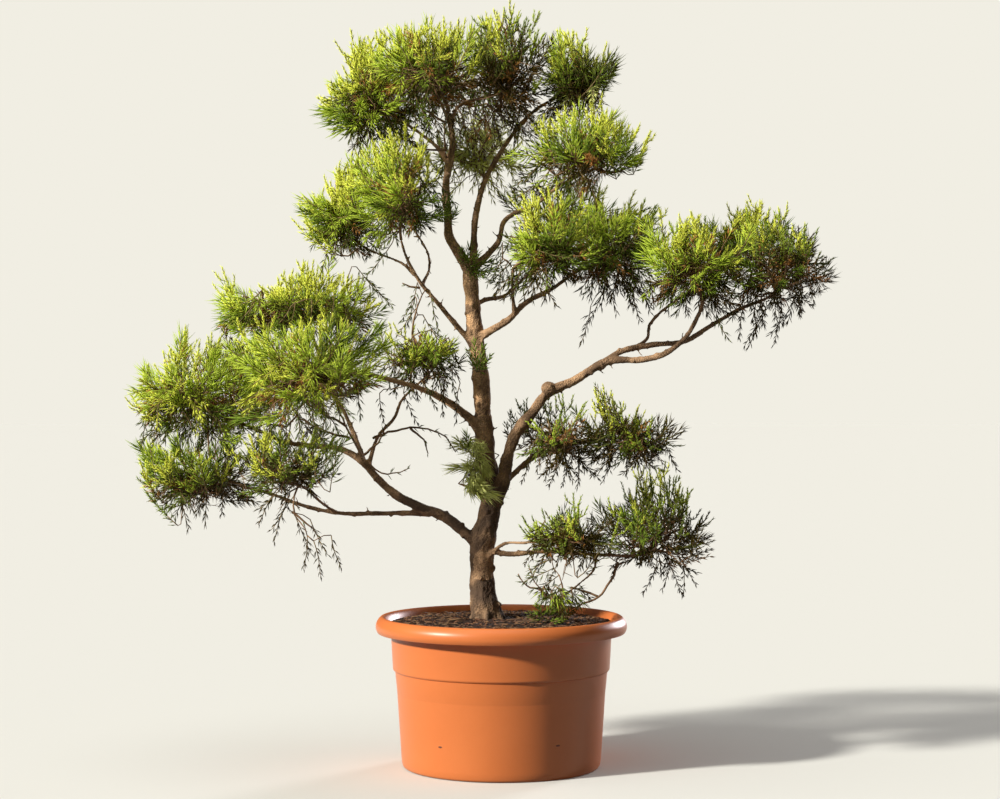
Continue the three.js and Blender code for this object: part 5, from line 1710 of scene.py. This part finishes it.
for mass_index, mass_row in enumerate(MASSES):
    grown_sprays, old_wood, new_wood = grow_mass(mass_row, mass_index)
    label = mass_row["name"].replace("foliage_", "")
    needles = grown_sprays.piece("needles_" + label)
    finish_piece(needles, "needles", [mass_row["name"]], *NEEDLES)
    old_places, old_faces = tubes(old_wood, 4)
    new_places, new_faces = tubes(new_wood, 3)
    wood_faces = np.vstack([old_faces, new_faces + len(old_places)])
    wood_slots = np.concatenate([np.zeros(len(old_faces)), np.ones(len(new_faces))])
    twigs = mesh_piece("twigs_" + label, np.vstack([old_places, new_places]), wood_faces, wood_slots)
    finish_piece(twigs, "bark", [], TWIG_BARK, GREEN_TWIG)


# Pot

def rounded(corners, steps):
    """A profile of (radius, height, rounding) with each corner turned into an arc."""
    line = []
    for i, (r, z, bend) in enumerate(corners):
        here = np.array([r, z], float)
        if not bend or i in (0, len(corners) - 1):
            line.append(here)
            continue
        before = np.array(corners[i - 1][:2], float)
        after = np.array(corners[i + 1][:2], float)
        a = here + unit(before - here) * min(bend, 0.45 * np.linalg.norm(before - here))
        b = here + unit(after - here) * min(bend, 0.45 * np.linalg.norm(after - here))
        for t in np.linspace(0, 1, steps):
            line.append((1 - t) ** 2 * a + 2 * (1 - t) * t * here + t ** 2 * b)
    return line


def turned_piece(name, profile, sides):
    """A ring drawn up a profile by extruding and resizing it, closed at both ends."""
    bpy.ops.object.select_all(action="DESELECT")
    radius, height = profile[0]
    bpy.ops.mesh.primitive_circle_add(vertices=sides, radius=radius * MM, fill_type="NGON",
                                      location=(0, 0, height * MM))
    bpy.ops.object.transform_apply(location=True)
    piece = named(name)
    bpy.ops.object.mode_set(mode="EDIT")
    bpy.ops.mesh.select_all(action="SELECT")
    for next_radius, next_height in profile[1:]:
        bpy.ops.mesh.extrude_region_move(
            TRANSFORM_OT_translate={"value": (0, 0, (next_height - height) * MM)})
        share = next_radius / radius
        bpy.ops.transform.resize(value=(share, share, 1), center_override=(0, 0, next_height * MM))
        radius, height = next_radius, next_height
    bpy.ops.mesh.select_all(action="SELECT")
    bpy.ops.mesh.normals_make_consistent(inside=False)
    bpy.ops.object.mode_set(mode="OBJECT")
    return piece


def build_pot():
    """The pot, from the recess under its foot up the outer wall, over the rim and down to its floor."""
    profile = [
        (150, 3.0, 0), (176, 3.0, 2), (180, 0, 2), (BASE_RADIUS - 2, 0, 5), (BASE_RADIUS + 1, 12, 6),
        (BELOW_STEP_RADIUS, STEP_HEIGHT - 1, 1.2), (BELOW_STEP_RADIUS + 2, STEP_HEIGHT, 1.2),
        (ABOVE_STEP_RADIUS - 1.5, STEP_HEIGHT + 1.5, 1.2), (ABOVE_STEP_RADIUS, STEP_HEIGHT + 4, 1.5),
        (NECK_RADIUS, RIM_UNDERSIDE + 2, 3), (RIM_RADIUS - 9, RIM_UNDERSIDE + 2, 3),
        (RIM_RADIUS - 4.5, RIM_UNDERSIDE, 2.5), (RIM_RADIUS, RIM_UNDERSIDE + 9, 8),
        (RIM_RADIUS - 1, POT_HEIGHT - 12, 8), (RIM_RADIUS - 10, POT_HEIGHT, 9),
        (RIM_MOUTH_RADIUS + 6, POT_HEIGHT - 1, 6), (RIM_MOUTH_RADIUS, POT_HEIGHT - 8, 5),
        (RIM_MOUTH_RADIUS - 4, SOIL_EDGE_HEIGHT - 4, 4), (ABOVE_STEP_RADIUS - 1, RIM_UNDERSIDE - 4, 3),
        (ABOVE_STEP_RADIUS - WALL, STEP_HEIGHT + 4, 0), (BASE_RADIUS - WALL, 11, 0),
        (BASE_RADIUS - WALL - 8, WALL + 1, 0), (20, WALL + 1, 0),
    ]
    return turned_piece("nursery_pot", rounded(profile, 6), POT_SIDES)


pot_piece = build_pot()
pot_material, *_ = mottled("Terracotta_plastic", (0.79, 0.222, 0.058), (0.71, 0.188, 0.046), scale=9.0,
                           contrast=1.2, grain=0.25, bump=0.12, bump_distance=0.0006, Roughness=0.37)
select_only(pot_piece)
bpy.ops.object.shade_smooth_by_angle(angle=math.radians(50))
finish_piece(pot_piece, "pot", ["pot"], pot_material)


def build_marks():
    """Two small marks from moulding, low on the front of the wall: flattened balls set in the wall and
    coloured dark, as painted shade of their dents.
    """
    marks = []
    for x, z in MOULD_MARKS:
        radius = BASE_RADIUS + (BELOW_STEP_RADIUS - BASE_RADIUS) * z / STEP_HEIGHT
        angle = -math.acos(x / radius)
        bpy.ops.mesh.primitive_ico_sphere_add(subdivisions=3, radius=MM,
                                              location=(x * MM, radius * math.sin(angle) * MM, z * MM),
                                              rotation=(0, 0, angle))
        mark = bpy.context.view_layer.objects.active
        mark.scale = MARK_SIZE
        bpy.ops.object.transform_apply(location=True, rotation=True, scale=True)
        marks.append(mark)
    select_only(*marks)
    bpy.ops.object.join()
    bpy.ops.object.shade_smooth()
    return named("mould_marks")


marks_piece = build_marks()
# The marks' dark colour is painted shade of the dents.
pit_shade_material, *_ = mottled("Pit_shade_paint", (0.2, 0.055, 0.02), (0.1, 0.028, 0.012), scale=300.0, contrast=2.0,
                             grain=0.5, bump=0.4, bump_distance=0.0004, Roughness=0.6)
finish_piece(marks_piece, "pot", [], pit_shade_material)


# Soil

def soil_height(radius):
    return float(np.interp(radius, [0, SOIL_LEVEL_RADIUS, SOIL_SLOPE_RADIUS, SOIL_RADIUS],
                           [SOIL_TOP_HEIGHT, SOIL_TOP_HEIGHT, SOIL_EDGE_HEIGHT + 3, SOIL_EDGE_HEIGHT]))


def build_soil():
    """The lumpy top of the soil, drawn inwards from the pot's wall."""
    rings = [(SOIL_RADIUS - 14, 250.0), (SOIL_RADIUS - 3, SOIL_EDGE_HEIGHT - 6)]
    rings += [(radius, soil_height(radius)) for radius in np.linspace(SOIL_RADIUS - 2, 1.5, 66)]
    soil = turned_piece("potting_soil", rings, 256)
    for vertex in soil.data.vertices:
        x, y, z = vertex.co / MM
        if z < SOIL_EDGE_HEIGHT - 8:
            continue
        edge = within((SOIL_RADIUS - 3 - math.hypot(x, y)) / 10)
        lumps = noise.fractal(Vector((x, y, 3)) / 21, 0.8, 2.1, 5) * 2.6
        grains = noise.noise(Vector((x, y, 9)) / 4.2) * 1.5
        vertex.co.z += (lumps + grains) * edge * MM
    soil.data.update()
    return soil


def ground_of(soil):
    """A function that gives the height of the soil's top at x and y."""
    vertices = soil.data.vertices
    tree = kdtree.KDTree(len(vertices))
    for i, vertex in enumerate(vertices):
        tree.insert((vertex.co.x / MM, vertex.co.y / MM, 0), i)
    tree.balance()

    def ground(x, y):
        _, i, _ = tree.find((x, y, 0))
        return vertices[i].co.z / MM

    return ground


def spot_on_soil(reach, innermost, clearance, chance):
    """A random place on the soil, or nothing where it is too near the trunk."""
    radius = reach * math.sqrt(chance.uniform(innermost, 1))
    angle = chance.uniform(0, 2 * math.pi)
    x, y = radius * math.cos(angle), radius * math.sin(angle)
    if math.hypot(x - TRUNK_FOOT[0], y - TRUNK_FOOT[1]) < clearance:
        return None
    return x, y


def turned(tilt_x, tilt_y, turn):
    """Matrix of a turn about Z after tilts about X and Y."""
    cx, sx, cy, sy = math.cos(tilt_x), math.sin(tilt_x), math.cos(tilt_y), math.sin(tilt_y)
    ct, st = math.cos(turn), math.sin(turn)
    return (np.array([[ct, -st, 0], [st, ct, 0], [0, 0, 1]])
            @ np.array([[1, 0, 0], [0, cx, -sx], [0, sx, cx]])
            @ np.array([[cy, 0, sy], [0, 1, 0], [-sy, 0, cy]]))


def slab_faces(count):
    """Triangles of a slab whose first corners are its underside and the rest its top."""
    ring = np.arange(count)
    after = (ring + 1) % count
    fan = np.arange(1, count - 1)
    low = np.zeros_like(fan)
    high = low + count
    return np.vstack([
        np.stack([ring, after, after + count], 1), np.stack([ring, after + count, ring + count], 1),
        np.stack([low, fan + 1, fan], 1), np.stack([high, fan + count, fan + count + 1], 1)])


def scatter_chips(ground, chance):
    """Bark chips: thin uneven slabs, each turned its own way, in one of three browns."""
    places, faces, slots = [], [], []
    block = slab_faces(CHIP_CORNERS)
    for _ in range(CHIP_COUNT):
        spot = spot_on_soil(SOIL_RADIUS - 8, 0.03, CHIP_CLEARANCE, chance)
        if spot is None:
            continue
        long, wide, thick = chance.uniform(5, 17), chance.uniform(2.5, 7), chance.uniform(0.9, 2.6)
        rim = np.arange(CHIP_CORNERS) + chance.uniform(-0.3, 0.3, CHIP_CORNERS)
        rim = 2 * math.pi * rim / CHIP_CORNERS
        flat = np.stack([np.cos(rim) * long / 2, np.sin(rim) * wide / 2, np.zeros(CHIP_CORNERS)], 1)
        flat *= chance.uniform(0.75, 1.15, (CHIP_CORNERS, 1))
        slab = np.vstack([flat, flat * [0.86, 0.8, 1] + [0, 0, thick]])
        rotate = turned(*chance.normal(0, 0.33, 2), chance.uniform(0, TURN))
        faces.append(block + 2 * CHIP_CORNERS * len(places))
        places.append(slab @ rotate.T + [*spot, ground(*spot) - 0.4])
        slots.append(np.full(len(block), int(chance.integers(0, 3))))
    return mesh_piece("bark_chips", np.vstack(places), np.vstack(faces), np.concatenate(slots), smooth=False)


def scatter_needles(ground, chance):
    """A few fallen needles that lie on the soil."""
    litter = Sprays(88)
    for _ in range(LITTER_COUNT):
        spot = spot_on_soil(SOIL_RADIUS - 22, 0.02, LITTER_CLEARANCE, chance)
        if spot is None:
            continue
        way = chance.uniform(0, TURN)
        half = chance.uniform(16, 38) / 2
        bend = chance.normal(0, 3.0)
        step = np.array([math.cos(way), math.sin(way), 0.0])
        side = np.array([-step[1], step[0], 0.0])
        middle = np.array([*spot, ground(*spot) + 1.4])
        base = middle - step * half
        bent = middle + side * bend + [0, 0, chance.uniform(0.4, 2.5)]
        tip = middle + step * half + [0, 0, chance.uniform(-0.5, 2)]
        litter.keep(base[None], bent[None], tip[None], np.array([LITTER_WIDTH]), 0, False)
    return litter.piece("fallen_needles")


soil_piece = build_soil()
soil_ground = ground_of(soil_piece)
soil_chance = np.random.default_rng(77)
chips_piece = scatter_chips(soil_ground, soil_chance)
litter_piece = scatter_needles(soil_ground, soil_chance)
soil_material, *_ = mottled("Potting_soil", (0.06, 0.027, 0.014), (0.02, 0.01, 0.006), scale=75.0,
                            contrast=2.6, grain=1.4, bump=0.9, bump_distance=0.003, Roughness=0.95)
chip_tones = [((0.16, 0.062, 0.026), (0.08, 0.032, 0.014)), ((0.085, 0.034, 0.016), (0.036, 0.016, 0.009)),
              ((0.27, 0.125, 0.058), (0.14, 0.058, 0.026))]
chip_materials = [mottled("Bark_chip_" + str(i), *tones, scale=90.0, contrast=2.2, grain=1.0, bump=0.6,
                          bump_distance=0.001, Roughness=0.9)[0] for i, tones in enumerate(chip_tones)]
fallen_material, *_ = mottled("Fallen_needles", (0.34, 0.19, 0.08), (0.16, 0.08, 0.04), scale=60.0,
                              contrast=2.2, grain=0.6, Roughness=0.7)
select_only(soil_piece)
bpy.ops.object.shade_smooth()
finish_piece(soil_piece, "soil", ["soil"], soil_material)
finish_piece(chips_piece, "soil", [], *chip_materials)
finish_piece(litter_piece, "soil", [], fallen_material)


# Stage and light
bpy.ops.object.select_all(action="DESELECT")
bpy.ops.mesh.primitive_circle_add(vertices=64, radius=60, fill_type="NGON", location=(0, 0, -0.0005))
floor = bpy.context.view_layer.objects.active
floor.name = "studio_floor"
floor_material, _, floor_shader = new_material("Studio_paper", Roughness=1.0)
floor_shader.inputs["Base Color"].default_value = FLOOR_TONE
floor_shader.inputs["Specular IOR Level"].default_value = 0.0
floor.data.materials.append(floor_material)
floor.visible_diffuse = False

world = bpy.data.worlds.new("Studio")
world.use_nodes = True
sky_tree = world.node_tree
paper = sky_tree.nodes["Background"]
paper.inputs["Color"].default_value = PAPER_TONE
fill = add_node(sky_tree, "ShaderNodeBackground", Color=FILL_TONE, Strength=FILL_STRENGTH)
seen = sky_tree.nodes.new("ShaderNodeLightPath")
either = sky_tree.nodes.new("ShaderNodeMixShader")
sky_tree.links.new(seen.outputs["Is Camera Ray"], either.inputs[0])
sky_tree.links.new(fill.outputs[0], either.inputs[1])
sky_tree.links.new(paper.outputs[0], either.inputs[2])
sky_tree.links.new(either.outputs[0], sky_tree.nodes["World Output"].inputs["Surface"])
bpy.context.scene.world = world

for lamp_name, towards, energy, spread, tint in LAMPS:
    lamp_data = bpy.data.lights.new(lamp_name, "SUN")
    lamp_data.energy = energy
    lamp_data.angle = math.radians(spread)
    lamp_data.color = tint
    lamp = new_object(lamp_name, lamp_data)
    lamp.rotation_euler = Vector(towards).to_track_quat("Z", "Y").to_euler()

bpy.context.scene.view_settings.view_transform = "Standard"
